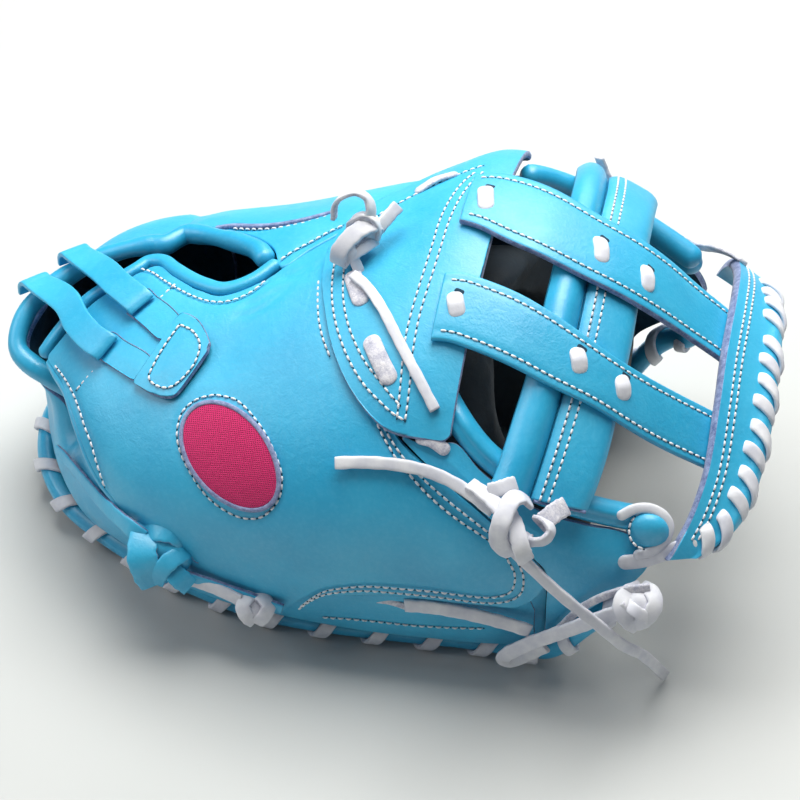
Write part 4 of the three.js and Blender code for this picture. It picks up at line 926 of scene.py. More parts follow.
RIM_THUMB = [
    [119, -72.5, 46], [111, -76.5, 40], [102, -78, 30], [94, -76.5, 17], [86, -73.5, 5.6], [74, -71.2, 0.8],
    [52, -71.5, 0], [19, -75, 0], [-20, -78, 0], [-47, -77, 0], [-74, -71.5, 1], [-96, -66, 3]]
RIM_FINGER = [
    [-96, 80, 3], [-74, 85, 1], [-40, 89, 0], [-4, 91, 0], [32, 93, 0], [60, 94.6, 0.2], [76, 97, 1],
    [86, 101, 5.6], [94, 104.5, 17], [102, 106, 30], [111, 104.5, 40], [119, 99, 46]]
RIM_RADIUS, RIM_REST, RIM_LACE_PITCH = 5.0, 1.5, 23.5
RIM_SEAM = [[-10.5, -43.5], [0, -40.5], [10.5, -39], [23, -38.5], [35.5, -38], [48, -36], [60.5, -33.5]]


def rim_line(count):
    """Middle of the rim binding, from the thumb end round the heel to the finger end."""
    turn = np.linspace(242, 118, 9)
    rise = 4 + 11 * np.cos(np.radians(turn - 180)) ** 2
    heel = heel_point(turn, HEEL_FOOT_RADIUS + 5 * np.sin(np.radians(turn)) ** 2, rise)
    rows = np.vstack([RIM_THUMB, heel, RIM_FINGER])
    rows[:, 2] += RIM_REST + RIM_RADIUS
    return curve(rows, count)


def wound(path, pitch, radius, steps, phase=0.0):
    """Helix round a path; gives its points and outward directions."""
    turns = int(length_of(path) / pitch)
    line = even(path, turns * steps + 1)
    along = directions(line)
    side = unit(np.cross(along, UP))
    top = np.cross(side, along)
    angle = phase + np.arange(len(line)) * 2 * math.pi / steps
    out = side * np.cos(angle)[:, None] + top * np.sin(angle)[:, None]
    return line + out * radius, out


def rim():
    """Rolled rim with a groove round it, and the lace wound over it."""
    path = rim_line(420)
    outline = grooved_outline(RIM_RADIUS, 2.5, 0.16, 0.07)
    tube("rim_binding", path, RIM_RADIUS, [BLUE_SMOOTH], ["rim_binding"], outline=outline)
    line, out = wound(path, RIM_LACE_PITCH, RIM_RADIUS + 1.3, 44)
    lace("rim_lace", line, out, 6.0, 2.4, ["rim_lace"])
    stitches("stitches_rim", [seam(RIM_SEAM, -3.3)])


# Web

STRAP_UPPER = [
    [27, 89.2, 105.2, 4.5], [34, 88, 106, 4.7], [46, 85.5, 105.5, 5.2], [58, 84, 103.6, 6.7],
    [77, 83, 101.5, 7], [96, 83.6, 102, 6.7], [108, 85, 103.6, 4.6], [122, 87, 105.5, 1.6],
    [136, 88.5, 107.5, 0.3], [144, 89.3, 108.4, -0.6]]
STRAP_LOWER = [
    [26.6, 60.6, 75.7, 4.25], [33, 60.6, 76, 4.4], [42, 59.8, 75.2, 4.9], [58, 58.2, 73.5, 6.4],
    [74, 56.6, 71.4, 6.7], [92, 55.5, 69, 6.4], [106, 54.2, 68.8, 4.4], [122, 53, 69.6, 1.6],
    [137, 52, 70.5, 0.3], [145, 51.5, 71, -0.6]]
CROSSBAR = [
    [31, 58, 74, 96, 3.9], [38, 60.5, 76, 98.5, 2.8], [48, 63, 78.5, 101, 1], [60, 65.5, 80.5, 102, 0],
    [80, 66.5, 81, 102, 0], [100, 66, 79.5, 100.5, 0], [118, 64, 77.5, 98.5, 1.6],
    [133, 61, 74.5, 96.5, 4.2]]
CROWN = [
    [17.5, 128.5, 131], [20, 130, 134.5], [25, 131.8, 140.5], [34, 135, 146], [50, 137.6, 150],
    [70, 137, 151.5], [88.5, 135.8, 151], [107.5, 135.5, 149.5], [125.5, 134.5, 146.5], [142, 131, 140],
    [160, 126, 131.5]]
CROWN_BASE, CROWN_THICK, CROWN_ROLL_RADIUS, CROWN_ROLL_SHIFT = 4.3, 5.0, 3.0, 7.6
STRAP_THICK, ROLL_THICK, FLAT_THICK = 3.0, 6.8, 6.0
FINE_PITCH, STRAP_PITCH, TIP_PITCH = 3.2, 3.4, 3.0
STRAP_SEAMS = (0.13, 0.87)  # shares of a strap's width
CROSSBAR_SEAM_SHIFTS = (3.0, 6.2)
# Station, angle, which strap (0 the upper, 1 the lower), and half the lace's length in degrees.
STRAP_LACES = [
    (34.4, 96.2, 0, 2.3), (80.5, 91.6, 0, 1.75), (99.5, 92, 0, 1.75), (33.5, 68.5, 1, 1.4),
    (81.5, 64, 1, 1.35), (99.5, 62.8, 1, 1.35)]


def strap(name, rows, lower_look):
    """Web strap: slightly domed leather with stitches along both edges."""
    line = curve(rows, 130)
    share = np.linspace(0, 1, 26)
    x = np.repeat(line[:, :1], 26, 1)
    a = line[:, 1:2] + (line[:, 2:3] - line[:, 1:2]) * share
    h = np.repeat(line[:, 3:4] + STRAP_THICK, 26, 1)
    dome = 0.55 * (1 - (2 * share - 1) ** 4)[None]
    pressed = np.zeros_like(x)
    for k in STRAP_SEAMS:
        pressed = pressed - 0.35 * np.exp(-(((share - k) / 0.035) ** 2))[None]
    shell(name, over(x, a, h + dome + pressed), over(x, a, h - STRAP_THICK), [BLUE, lower_look, INSIDE_PAINTED_SHADE],
          [name], rounding=0.5)
    rows_of = [np.stack([line[:, 0], line[:, 1] + (line[:, 2] - line[:, 1]) * k,
                         line[:, 3] + STRAP_THICK + 0.25], -1)[3:-2:6] for k in STRAP_SEAMS]
    stitches("stitches_" + name, [seam(r) for r in rows_of], pitch=STRAP_PITCH)


def straps():
    """Both web straps and the white laces that show on them."""
    strap("web_strap_upper", STRAP_UPPER, RAW)
    strap("web_strap_lower", STRAP_LOWER, BLUE_SMOOTH)
    for k, (x, a, which, half) in enumerate(STRAP_LACES):
        row = table((STRAP_UPPER, STRAP_LOWER)[which], np.array(float(x)))
        top = row[3] + STRAP_THICK + 0.3
        path, facing = laid([[x - 0.9, a + half, top], [x, a, top + 0.7], [x + 0.9, a - half, top]], 16)
        pill(f"strap_lace_{k + 1}", path, facing, 7.0, 2.8)
        end = half + 1.6
        path, facing = laid([[x - 0.7, a + end, top], [x + 1.4, a + end - 0.3, top]], 10)
        pill(f"strap_slot_{k + 1}", path, facing, 2.4, 0.9, [HOLE_SHADE])


def bar(name, stations, angles, low, thick, looks, nodes, columns=26, power=4.0, edge=0.45):
    """Padded bar over the back between two stations at each angle; its upper face is a flattened dome."""
    share = (1 - np.cos(np.linspace(0, math.pi, columns))) / 2
    dome = low[:, None] + thick * (edge + (1 - edge) * (1 - np.abs(2 * share - 1) ** power))[None]
    x = stations[:, :1] + (stations[:, 1:] - stations[:, :1]) * share
    a = np.repeat(angles[:, None], columns, 1)
    return shell(name, over(x, a, dome), over(x, a, np.repeat(low[:, None], columns, 1)), looks, nodes,
                 rounding=0.3)


def crossbar():
    """Crossbar: a rolled lobe and a flatter one with two rows of stitches beside the seam."""
    line = curve(CROSSBAR, 150)
    roll = line[:, [1, 2]] - [0, 0.3]
    bar("web_crossbar_roll", roll, line[:, 0], line[:, 4], ROLL_THICK, [BLUE_SMOOTH] * 3,
        ["web_crossbar_roll"], power=2.2, edge=0.3)
    bar("web_crossbar_flat", line[:, [2, 3]], line[:, 0], line[:, 4], FLAT_THICK, [BLUE, BLUE, INSIDE_PAINTED_SHADE],
        ["web_crossbar_flat"], power=5, edge=0.5)
    rows = [[[r[2] + k, r[0], r[4] + FLAT_THICK * 0.97] for r in CROSSBAR] for k in CROSSBAR_SEAM_SHIFTS]
    stitches("stitches_crossbar", [seam(r) for r in rows], pitch=FINE_PITCH)
    first = CROSSBAR[0]
    ends = (("crossbar_end_roll", first[1], first[2], 3.4), ("crossbar_end_flat", first[2], first[3], 3.0))
    for name, low, high, rise in ends:
        x = np.linspace(low + 1.2, high - 1.2, 40)
        path = over(x, first[0] - 0.25, first[4] + rise)
        facing = path - over(x, first[0] + 0.5, first[4] + rise)
        lace(name, path, unit(facing), 4.6, 1.4, (), [RAW, RAW], "blue_leather")


def crown():
    """Band round the web's end: raw inner edge, two rows of stitches, rolled outer edge."""
    line = curve(CROWN, 170)
    inner, outer = line[:, 1], line[:, 2] + CROWN_ROLL_SHIFT + CROWN_ROLL_RADIUS
    share = np.linspace(0, 1, 34)
    x = inner[:, None] + (outer - inner)[:, None] * share
    a = np.repeat(line[:, :1], 34, 1)
    edge = np.clip((share - 0.72) / 0.28, 0, 1)
    swell = 0.9 * np.exp(-(((share - 0.82) / 0.12) ** 2))
    top = CROWN_BASE + CROWN_THICK + swell - 3.0 * (1 - np.sqrt(np.clip(1 - edge**2, 0, 1)))
    low = CROWN_BASE - 0.4 * share + 2.4 * (1 - np.sqrt(np.clip(1 - edge**2, 0, 1)))
    shell("crown_band", over(x, a, np.repeat(top[None], len(line), 0)),
          over(x, a, np.repeat(low[None], len(line), 0)), [BLUE, RAW, BLUE], ["web_crown", "crown_roll"],
          rounding=0.7)
    stitches("stitches_crown", [
        seam([[r[1] + k, r[0], CROWN_BASE + CROWN_THICK + 0.1] for r in CROWN[2:-1]])
        for k in CROWN_SEAM_SHIFTS], pitch=FINE_PITCH)


# Starts of the lace pairs along the crown's edge, and bends: along the edge, in from it, and up.
CROWN_LACE_STARTS = (38, 56, 82.5, 103, 125, 146.5, 169)
LONG_BEND = [
    [0, 8.0, 1.2], [0.4, 6.6, 3.5], [2.2, 3.4, 4.3], [5.2, -0.4, 3.6], [8.4, -2.9, 0.8],
    [10.6, -2.4, -2.6], [12.2, 2.0, -4.4], [12.8, 5.6, -3.6], [12.9, 6.6, -1.8]]
SHORT_BEND = [
    [10.6, 9.0, 1.2], [11.0, 7.6, 3.4], [12.4, 4.2, 4.1], [14.4, 0.4, 3.2], [15.8, -2.0, 0.4],
    [16.6, -1.2, -3.0], [17.2, 3, -4.4], [17.6, 6.2, -3.6], [17.7, 7.2, -1.8]]


def crown_laces():
    """Pairs of lace over the crown's outer edge: a long bend that runs down it and a short one under it."""
    rows = [[r[2] + CROWN_ROLL_SHIFT, r[0], CROWN_BASE + 2.5] for r in CROWN[::-1]]
    line, facing = laid(rows, 400)
    step = length_of(line) / (len(line) - 1)
    along = directions(line)
    out = unit(np.cross(along, facing))
    out = out * np.sign(out[:, :1])
    count = 0
    for start in CROWN_LACE_STARTS:
        for bend in (LONG_BEND, SHORT_BEND):
            count += 1
            b = curve(bend, 60)
            at = np.clip((start + b[:, 0]) / step, 0, len(line) - 1)
            point, away, up = (
                np.stack([np.interp(at, np.arange(len(line)), v[:, k]) for k in range(3)], -1)
                for v in (line, out, facing))
            middle = point - away * 2.6
            path = point - away * b[:, 1:2] + up * b[:, 2:3]
            pill(f"crown_lace_{count:02d}", path, unit(path - middle), 5.6, 2.4, [RAWHIDE],
                 ["crown_lace"] if count == 1 else ())


# Rolls, tab, loops, patch

TIP_ROLL = [[44, 44, -3], [53.5, 39.2, -3], [64, 35.8, -3], [74, 33.2, -3], [90, 31.5, -3], [118, 30.8, -3]]
ROLL_RADIUS = 5.5
TIP_END_AT, TIP_END = (119.5, 27.5, 1.0), (648, 531, 0)
TIP_RING = (646, 531, 17, 18)  # picture place of the stitched ring's middle, and its half sizes


def tip_rolls():
    """Rolled cylinders along the thumb and finger ends; the thumb's one starts under the base panel."""
    def rows(shift=None):
        if shift is None:
            return [[26, 56, -7], [34, 50.5, -6], *TIP_ROLL]
        return [[x, 180 - a + shift, h] for x, a, h in TIP_ROLL]
    for name, shift in (("finger_tip_roll_outer", 0), ("finger_tip_roll_inner", -9)):
        path, facing = laid(rows(shift), 110)
        tube(name, path, ROLL_RADIUS, [BLUE_SMOOTH], [name], facing=facing)
    path, facing = laid(rows(), 110)
    tube("thumb_tip_roll", path, ROLL_RADIUS, [BLUE_SMOOTH], ["thumb_tip_roll"], facing=facing,
         outline=grooved_outline(ROLL_RADIUS, 1.2, 0.2, 0.2))
    end = seen(over(*TIP_END_AT), [TIP_END])[0]
    core("thumb_tip_end", end, (9.0, 6.0, 9.2), BLUE)
    turn = np.radians(np.linspace(105, 262, 36))
    ring = seen(end, np.stack([
        TIP_RING[0] + TIP_RING[2] * np.cos(turn), TIP_RING[1] - TIP_RING[3] * np.sin(turn),
        np.full(36, 3.6)], -1))
    stitches("stitches_thumb_tip", [(ring, np.tile(TO_CAMERA, (36, 1)))], pitch=TIP_PITCH)


TAB_PAD = [
    [-98.5, 47.3, 47.8], [-94, 46.2, 55.5], [-90, 45.2, 62.7], [-86.5, 44.8, 68.9], [-83.5, 44.5, 69],
    [-78, 45.5, 67.5], [-73, 51.5, 64.5], [-70, 56, 62], [-68.5, 58.5, 60.5]]
TAB_LEG_UPPER = [
    [-113.5, 68.3, 68.7], [-109, 66.8, 77.4], [-101, 63.9, 74.5], [-93.5, 61, 71.7], [-87, 61, 68.4],
    [-82, 62.5, 64.5]]
TAB_LEG_LOWER = [
    [-125, 53.3, 53.7], [-118.5, 52, 61.5], [-108, 49.7, 59.3], [-97.5, 48, 57], [-90, 50, 54]]
TAB_RING = [
    [-84.5, 65.2], [-77, 63.2], [-72.2, 59.5], [-72.2, 55], [-75.6, 50.6], [-80.4, 47.6], [-86.4, 47.4],
    [-91.2, 49.4], [-90.4, 54], [-87.6, 60], [-84.5, 65.2]]
TAB_TOP, THIN = 3.3, 2.4
# Turn at which a loop leaves the wrist roll, and the rows on which it lands.
LOOP_UPPER = (173, [
    [-130, 81, 7], [-119, 75.4, 7.6], [-111.5, 72.6, 7.2], [-107, 71, 6.2], [-105.5, 70.4, 4.2]])
LOOP_LOWER = (189, [
    [-143, 68.5, 6.5], [-131.5, 61, 7.6], [-121.5, 56.8, 7.2], [-116.5, 55.8, 6.2], [-115, 55.4, 4.2]])
LOOP_WIDTH, LOOP_CLEARANCE = 13.0, 3.4
SHORT_SEAMS = [
    [[-96.5, 80.5], [-99, 77.5], [-101.5, 74.5]], [[-108.5, 65.5], [-110.5, 63.5], [-112.5, 61.5]],
    [[-119, 51], [-123.5, 46], [-128, 40]]]


def wrist_tab():
    """Tab pad over its two legs, with its stitched ring."""
    looks = [BLUE, RAW, INSIDE_PAINTED_SHADE]
    conform("wrist_tab_pad", TAB_PAD, 40, 60, TAB_TOP + 0.7, THIN, looks, ["wrist_tab"], [TAB_RING],
            fullness=0.6)
    conform("wrist_tab_leg_upper", TAB_LEG_UPPER, 20, 40, TAB_TOP - 0.3, THIN, looks, (), fullness=0.2)
    conform("wrist_tab_leg_lower", TAB_LEG_LOWER, 20, 40, TAB_TOP - 0.3, THIN, looks, (), fullness=0.2)
    stitches("stitches_wrist_tab", [seam(TAB_RING, TAB_TOP + 1.15)] + [seam(r, 0.6) for r in SHORT_SEAMS],
             pitch=FINE_PITCH)


def wrist_loops():
    """Leather loops over the wrist roll, down to the tab's legs."""
    for name, (turn, end) in (("wrist_loop_upper", LOOP_UPPER), ("wrist_loop_lower", LOOP_LOWER)):
        centre = wrist_roll_point(turn)
        end = np.array(end, float)
        landing = over(*end.T)
        inward = unit((landing[0] - centre) * [1, 1, 0])
        angle = np.radians([185, 150, 115, 85])[:, None]
        reach = WRIST_ROLL_RADIUS + LOOP_CLEARANCE + THIN / 2
        round_it = centre + (inward * np.cos(angle) + UP * np.sin(angle)) * reach
        faces = np.vstack([round_it - centre, out_of(end[:, 0], end[:, 1])])
        both = curve(np.hstack([np.vstack([round_it, landing]), unit(faces) * 8]), 80)
        sweep(name, both[:, :3], unit(both[:, 3:]), strap_outline(LOOP_WIDTH, THIN, 24, 7.0), [BLUE, RAW],
              None, None, [name])


PATCH_CENTRE, PATCH_LONG, PATCH_SHORT = (-49.5, 31.0), (17.0, -12.75), (14.5, 5.5)


def oval(scale, count):
    """Stations and angles round the patch's oval."""
    t = np.linspace(0, 2 * math.pi, count)
    x = PATCH_CENTRE[0] + scale * (PATCH_LONG[0] * np.cos(t) + PATCH_SHORT[0] * np.sin(t))
    a = PATCH_CENTRE[1] + scale * (PATCH_LONG[1] * np.cos(t) + PATCH_SHORT[1] * np.sin(t))
    return x, a


def patch():
    """Oval patch: a square grid drawn out to the oval, and a rolled edge round it."""
    v, u = np.meshgrid(np.linspace(-1, 1, 61), np.linspace(-1, 1, 61))
    c, s = u * np.sqrt(1 - v**2 / 2), v * np.sqrt(1 - u**2 / 2)
    x = PATCH_CENTRE[0] + PATCH_LONG[0] * c + PATCH_SHORT[0] * s
    a = PATCH_CENTRE[1] + PATCH_LONG[1] * c + PATCH_SHORT[1] * s
    top = 2.1 + 0.5 * (1 - (c**2 + s**2) ** 3)
    flat = np.stack([c * 26, s * 17], -1)
    shell("oval_patch", over(x, a, top), over(x, a, np.full(x.shape, 0.5)), [PATCH, PATCH_EDGE, PATCH],
          ["oval_patch"], 0.2, flat)
    x, a = oval(1.03, 161)
    path = over(x, a, 1.9)
    sweep("oval_patch_edge", path, out_of(x, a), strap_outline(2.0, 1.5, 12, 3), [PATCH_EDGE],
          ends=False)


# Knots and laces

def core(name, centre, size, look, nodes=()):
    """Rounded lump that fills the middle of a knot: a ball of 24 by 16 faces."""
    u = np.linspace(0, 2 * math.pi, 25)[:-1][None]
    v = np.linspace(0.02, math.pi - 0.02, 16)[:, None]
    ball = np.stack([np.cos(u) * np.sin(v), np.sin(u) * np.sin(v), np.cos(v) + 0 * u], -1)
    n, k = ball.shape[:2]
    faces = quads(n, k, wrap=True) + [list(range(k)), list(range((n - 1) * k, n * k))[::-1]]
    return make(name, np.asarray(centre) + ball * np.asarray(size), faces, [look], None, nodes)


def strand(name, anchor, places, width, thick, swing, looks, slot, nodes=()):
    """Lace of a knot through places of the picture; its face looks away from the knot's middle."""
    path = curve(seen(anchor, places), STRAND_POINTS)
    middle = np.asarray(anchor, float) - TO_CAMERA * 4
    facing = unit(unit(path - middle) + TO_CAMERA * swing)
    return lace(name, path, facing, width, thick, nodes, looks, slot)


def tie(anchor, strands, looks=None, slot="white_rawhide"):
    """The strands of a knot from its table; a row may end with looks of its own."""
    for name, width, thick, swing, places, *own in strands:
        strand(name, anchor, places, width, thick, swing, own or looks, slot)


def side_lace(name, places, width, thick, tilt, count, looks=None):
    """Lace seen against the thumb side, through picture places on planes of the given y."""
    path = curve(sight(places), count)
    lace(name, path, np.tile([0.0, -1.0, tilt], (count, 1)), width, thick, (), looks)


STRAND_POINTS = 60
ROUGH = [RAWHIDE_EDGE, RAWHIDE_EDGE]

# Tables of strands: name, width, thickness, turn towards the camera, and picture places. A place is right,
# down, and how far in front of the knot's middle. Side laces have the plane's y as the third number.
PANEL_KNOT_AT, PANEL_KNOT_FILL = (-15.5, 83, 8.6), (361, 241, 1)
PANEL_KNOT = [
    ("panel_knot_curl", 5.4, 2.2, 0, [
        (334, 218, 2), (335, 206, 5), (343, 196, 9), (356, 192, 11), (367, 198, 10), (371, 210, 9),
        (367, 222, 7), (360, 230, 4)]),
    ("panel_knot_end", 5.6, 2.2, 0, [
        (398, 206, 2), (389, 216, 4), (380, 227, 5), (372, 237, 4), (364, 244, 1)]),
    ("panel_knot_collar", 3.8, 2.2, 0, [
        (350, 228, 2), (353, 220, 6), (363, 215, 8), (373, 219, 8), (379, 229, 6), (378, 239, 3)]),
    ("panel_knot_wrap", 7.6, 2.6, 0, [
        (380, 224, 3), (370, 225, 7), (358, 231, 9), (347, 241, 9), (339, 253, 7), (338, 263, 3)]),
    ("panel_knot_neck", 4.6, 2.4, 3, [
        (348, 242, 9), (351, 251, 8), (355, 261, 5.5), (360, 273, 2.5), (363, 279, 0.8)]),
    ("panel_knot_low", 4.6, 2.2, 0, [
        (376, 240, 2), (366, 247, 6), (355, 254, 7), (346, 260, 5), (342, 265, 2)])]
CROSSBAR_KNOT_AT = (69.5, -95.0, 101.0)
CROSSBAR_KNOT = [
    ("crossbar_pad_left", 6.4, 2.2, 50, [(516, 483, 0), (507, 486, 1), (498, 489, 2), (489, 491, 1)]),
    ("crossbar_pad_right", 8.0, 2.2, 50, [
        (566, 506, 0), (557, 511, 2), (548, 518, 4), (539, 526, 3)], *ROUGH),
    ("crossbar_knot_bend", 5.6, 2.2, 0, [
        (536, 519, 2), (547, 523, 6), (551, 531, 7), (545, 540, 7), (534, 542, 5), (524, 538, 2)]),
    ("crossbar_knot_entry", 6.2, 2.6, 0, [
        (470, 484, -3), (482, 492, 0), (493, 502, 3), (503, 514, 5), (510, 528, 5)]),
    ("crossbar_knot_low", 7.2, 2.6, 0, [
        (508, 512, 2), (515, 526, 7), (519, 540, 9), (522, 551, 8), (526, 560, 3)]),
    ("crossbar_knot_wrap", 7.6, 2.6, 0, [
        (529, 503, 2), (520, 497, 6), (511, 501, 10), (505, 513, 12), (500, 526, 12), (498, 538, 9),
        (503, 548, 5), (512, 553, 1)])]
RIM_KNOT_AT, RIM_KNOT_CORE = (118.0, -85.0, 59.5), (638, 606, 4)
RIM_KNOT = [
    ("rim_knot_turn_a", 6.6, 2.6, 1.2, [
        (640, 588, 3), (629, 592, 7), (621, 601, 10), (622, 613, 10), (629, 622, 7), (637, 627, 3)]),
    ("rim_knot_turn_b", 7.0, 2.6, 1.2, [
        (641, 587, 4), (651, 592, 8), (655, 602, 10), (651, 613, 10), (643, 621, 8), (634, 625, 4)]),
    ("rim_knot_collar", 5.2, 2.4, 1.5, [(626, 603, 9), (634, 610, 12), (643, 616, 11), (650, 619, 7)])]
RIM_KNOT_LOOP = [
    (628, 608, -93), (610, 615, -93), (590, 622, -93), (568, 630, -93), (545, 638, -93), (524, 646, -93),
    (509, 653, -92.5), (503, 659, -90.5), (510, 661, -88), (526, 655, -87), (545, 646, -87)]
RIM_KNOT_RETURN = [
    (545, 640, -88), (562, 626, -88), (580, 609, -88), (600, 598, -87), (625, 590, -86), (650, 587, -84)]
HEEL_KNOT_AT, HEEL_KNOT_CORE = (-81.5, -97.8, 45.5), (163, 556, 2.5)
HEEL_WALL_MIDDLE = (-104, -30, 44)
HEEL_KNOT_LACE = [
    (57, 449, -44), (64, 456, -50.5), (76, 471, -61.5), (90, 488, -73), (105, 505, -83.5), (120, 519, -90.5),
    (133, 530, -95), (143, 538, -96)]
HEEL_KNOT = [
    ("heel_knot_back", 6.6, 2.2, 0, [(188, 557, 1), (198, 556, 3), (209, 556, 2), (219, 557, -1)]),
    ("heel_knot_low", 9, 2.4, 1.5, [(160, 556, 3), (168, 566, 7), (178, 577, 7), (190, 586, 3)]),
    ("heel_knot_band", 13.0, 2.4, 2.5, [
        (152, 526, 4), (144, 540, 9), (142, 555, 11), (146, 570, 9), (155, 584, 3)]),
    ("heel_knot_top", 10, 2.4, 2.5, [
        (145, 533, 5), (158, 530, 10), (172, 532, 11), (184, 539, 8), (191, 549, 2)]),
    ("heel_knot_fold", 8, 2.4, 2.5, [
        (190, 547, 4), (180, 554, 9), (169, 562, 11), (160, 572, 9), (155, 582, 4)])]
HEEL_LACE_AT, HEEL_LACE_CORE = (-39.5, -99.2, 25.5), (255, 608, 3)
HEEL_LACE_RUN = [(186, 579, -97), (198, 582, -98.5), (212, 587, -99.5), (226, 593, -100.5), (240, 600, -101)]
HEEL_LACE_TURNS = [
    ("heel_lace_turn_a", 6.4, 2.6, 0, [
        (256, 594, 5), (247, 598, 9), (243, 606, 10), (246, 615, 9), (254, 621, 5)]),
    ("heel_lace_turn_b", 6.4, 2.6, 0, [
        (254, 595, 5), (263, 598, 9), (268, 606, 10), (265, 615, 9), (257, 622, 5)])]
FLANGE_LACE_THIN = [(370, 599, -91.5), (388, 601, -92), (408, 607, -92.5)]
FLANGE_LACE = [
    (405, 605, -92.8), (430, 607, -93), (460, 612, -92.8), (490, 619, -92), (515, 626, -91), (530, 631, -90)]

# Laces on the back: stations, angles and heights.
PANEL_PASSES = {
    "panel_pass_upper": [[-12.9, 77.4, 4.4], [-9.8, 74.2, 5.0], [-6.9, 71.4, 4.4]],
    "panel_pass_middle": [[2.8, 60.4, 4.4], [7.4, 56.5, 5.0], [12.2, 52.7, 4.4]]}
PASS_WIDTH, SLOT_REACH, SLOT_DEPTH = 7.8, 1.1, 0.7
# Name, how it is made, width, thickness, points along it, looks, nodes, rows.
BACK_LACES = [
    ("panel_pass_top", pill, 5.4, 2.2, 30, [RAWHIDE_EDGE], (),
     [[3.4, 105.8, 4.6], [9.5, 108.2, 5.6], [15.6, 110.6, 4.6]]),
    ("panel_pass_stub", pill, 5.6, 2.2, 30, [RAWHIDE_EDGE], (),
     [[29, 39.6, 1.4], [33.5, 39.2, 2.2], [38.5, 37.8, 1.6]]),
    ("tip_lace_run", pill, 6.6, 2.2, 60, [RAWHIDE], ["tip_lace"],
     [[115, 15.2, 1.9], [120.4, 16.2, 3.2], [126.7, 18.3, 4.4], [132, 21.2, 6], [137, 23.4, 8]]),
    ("tip_lace_bend", pill, 4.4, 2.6, 110, [RAWHIDE], (),
     [[110.5, 31.4, 2.6], [113.8, 33.6, 3.6], [117.5, 34.8, 4.6], [121, 34.8, 5.6], [125.2, 33.2, 6.2],
      [127.8, 30.4, 6.2], [128.2, 27.4, 6], [127, 23.4, 5.4], [123.6, 20.4, 4.4], [119, 18.6, 3.4]]),
    ("finger_tip_lace", lace, 5.4, 2.0, 70, None, ["finger_tip_lace"],
     [[110, 147, 3.7], [117, 146, 4.1], [124, 141.5, 7], [130, 138, 9], [135, 134, 10.2]]),
    ("crossbar_far_lace", lace, 5.4, 2.0, 60, None, ["crossbar_far_lace"],
     [[90, 137.6, 3.6], [80, 139, 4.5], [71, 138, 10.4], [67, 136, 14.4]])]


def panel_knot():
    """Knot on the base panel: a curl that arches over, a wide wrap, a narrow collar and a short end."""
    at = over(*PANEL_KNOT_AT)
    core("panel_knot_core", at, (5.5, 5.0, 4.0), RAWHIDE, nodes=["panel_knot"])
    core("panel_knot_fill", seen(at, [PANEL_KNOT_FILL])[0], (5.4, 4.0, 4.6), RAWHIDE_EDGE)
    tie(at, PANEL_KNOT)


def laces():
    """The laces that lie on the leather."""
    for name, rows in PANEL_PASSES.items():
        path, facing = laid(rows, 40)
        pill(name, path, facing, PASS_WIDTH, 2.6, [RAWHIDE_EDGE], [name])
        along = directions(path)
        longer = np.vstack([path[:1] - along[:1] * SLOT_REACH, path, path[-1:] + along[-1:] * SLOT_REACH])
        faces = np.vstack([facing[:1], facing, facing[-1:]])
        pill(name + "_slot", longer - faces * SLOT_DEPTH, faces, PASS_WIDTH, 0.8, [HOLE_SHADE])
    for name, shape, width, thick, count, looks, nodes, rows in BACK_LACES:
        shape(name, *laid(rows, count), width, thick, looks=looks, nodes=nodes)
    side_lace("flange_lace_thin", FLANGE_LACE_THIN, 3.0, 1.6, 0.3, 30, ROUGH)
    side_lace("flange_lace", FLANGE_LACE, 6.2, 2.0, 0.3, 90)


def crossbar_knot():
    """Knot under the crossbar's end: two lace pads beneath the bar, a wide wrap, and a bend from the pad."""
    core("crossbar_knot_core", CROSSBAR_KNOT_AT, (4.6, 4, 7), RAWHIDE_EDGE, nodes=["crossbar_knot"])
    tie(CROSSBAR_KNOT_AT, CROSSBAR_KNOT)


def rim_knot():
    """Lace along the thumb end's rim: a loop forward and a knot of two turns."""
    middle = seen(RIM_KNOT_AT, [RIM_KNOT_CORE])[0]
    core("rim_knot_core", middle, (8.8, 6.0, 7.6), RAWHIDE, nodes=["rim_knot"])
    tie(RIM_KNOT_AT, RIM_KNOT)
    side_lace("rim_knot_loop", RIM_KNOT_LOOP, 6.4, 2.2, 0.25, 130)
    side_lace("rim_knot_return", RIM_KNOT_RETURN, 3.4, 2.0, 0.25, 90, ROUGH)


def heel_knots():
    """Flat blue lace over the heel with its folded knot, and the white lace with its own knot."""
    looks, slot = [BLUE, RAW], "blue_leather"
    middle = seen(HEEL_KNOT_AT, [HEEL_KNOT_CORE])[0]
    core("heel_knot_core", middle, (12.5, 5.6, 11), BLUE, ["heel_knot"])
    path = curve(sight(HEEL_KNOT_LACE), 110)
    wall = unit(path - HEEL_WALL_MIDDLE) * [1, 1, 0] + [0, 0, 0.25]
    lace("heel_knot_lace", path[::-1], wall[::-1], 8.2, 2.2, (), looks, slot, 0.5)
    tie(HEEL_KNOT_AT, HEEL_KNOT, looks, slot)
    middle = seen(HEEL_LACE_AT, [HEEL_LACE_CORE])[0]
    core("heel_lace_core", middle, (7.4, 6.0, 7.2), RAWHIDE, nodes=["heel_lace"])
    side_lace("heel_lace_run", HEEL_LACE_RUN, 6.0, 2.4, 0.2, 50)
    tie(HEEL_LACE_AT, HEEL_LACE_TURNS)


# Padded palm

PAD_RIBS = [
    [100, 20, -34], [92, 24, -56], [84, 29, -76], [72, 36, -90], [57, 50, -90], [43, 90, -90], [20, 90, -90],
    [-12, 90, -90], [-46, 90, -90], [-80, 90, -90], [-110, 90, -90]]


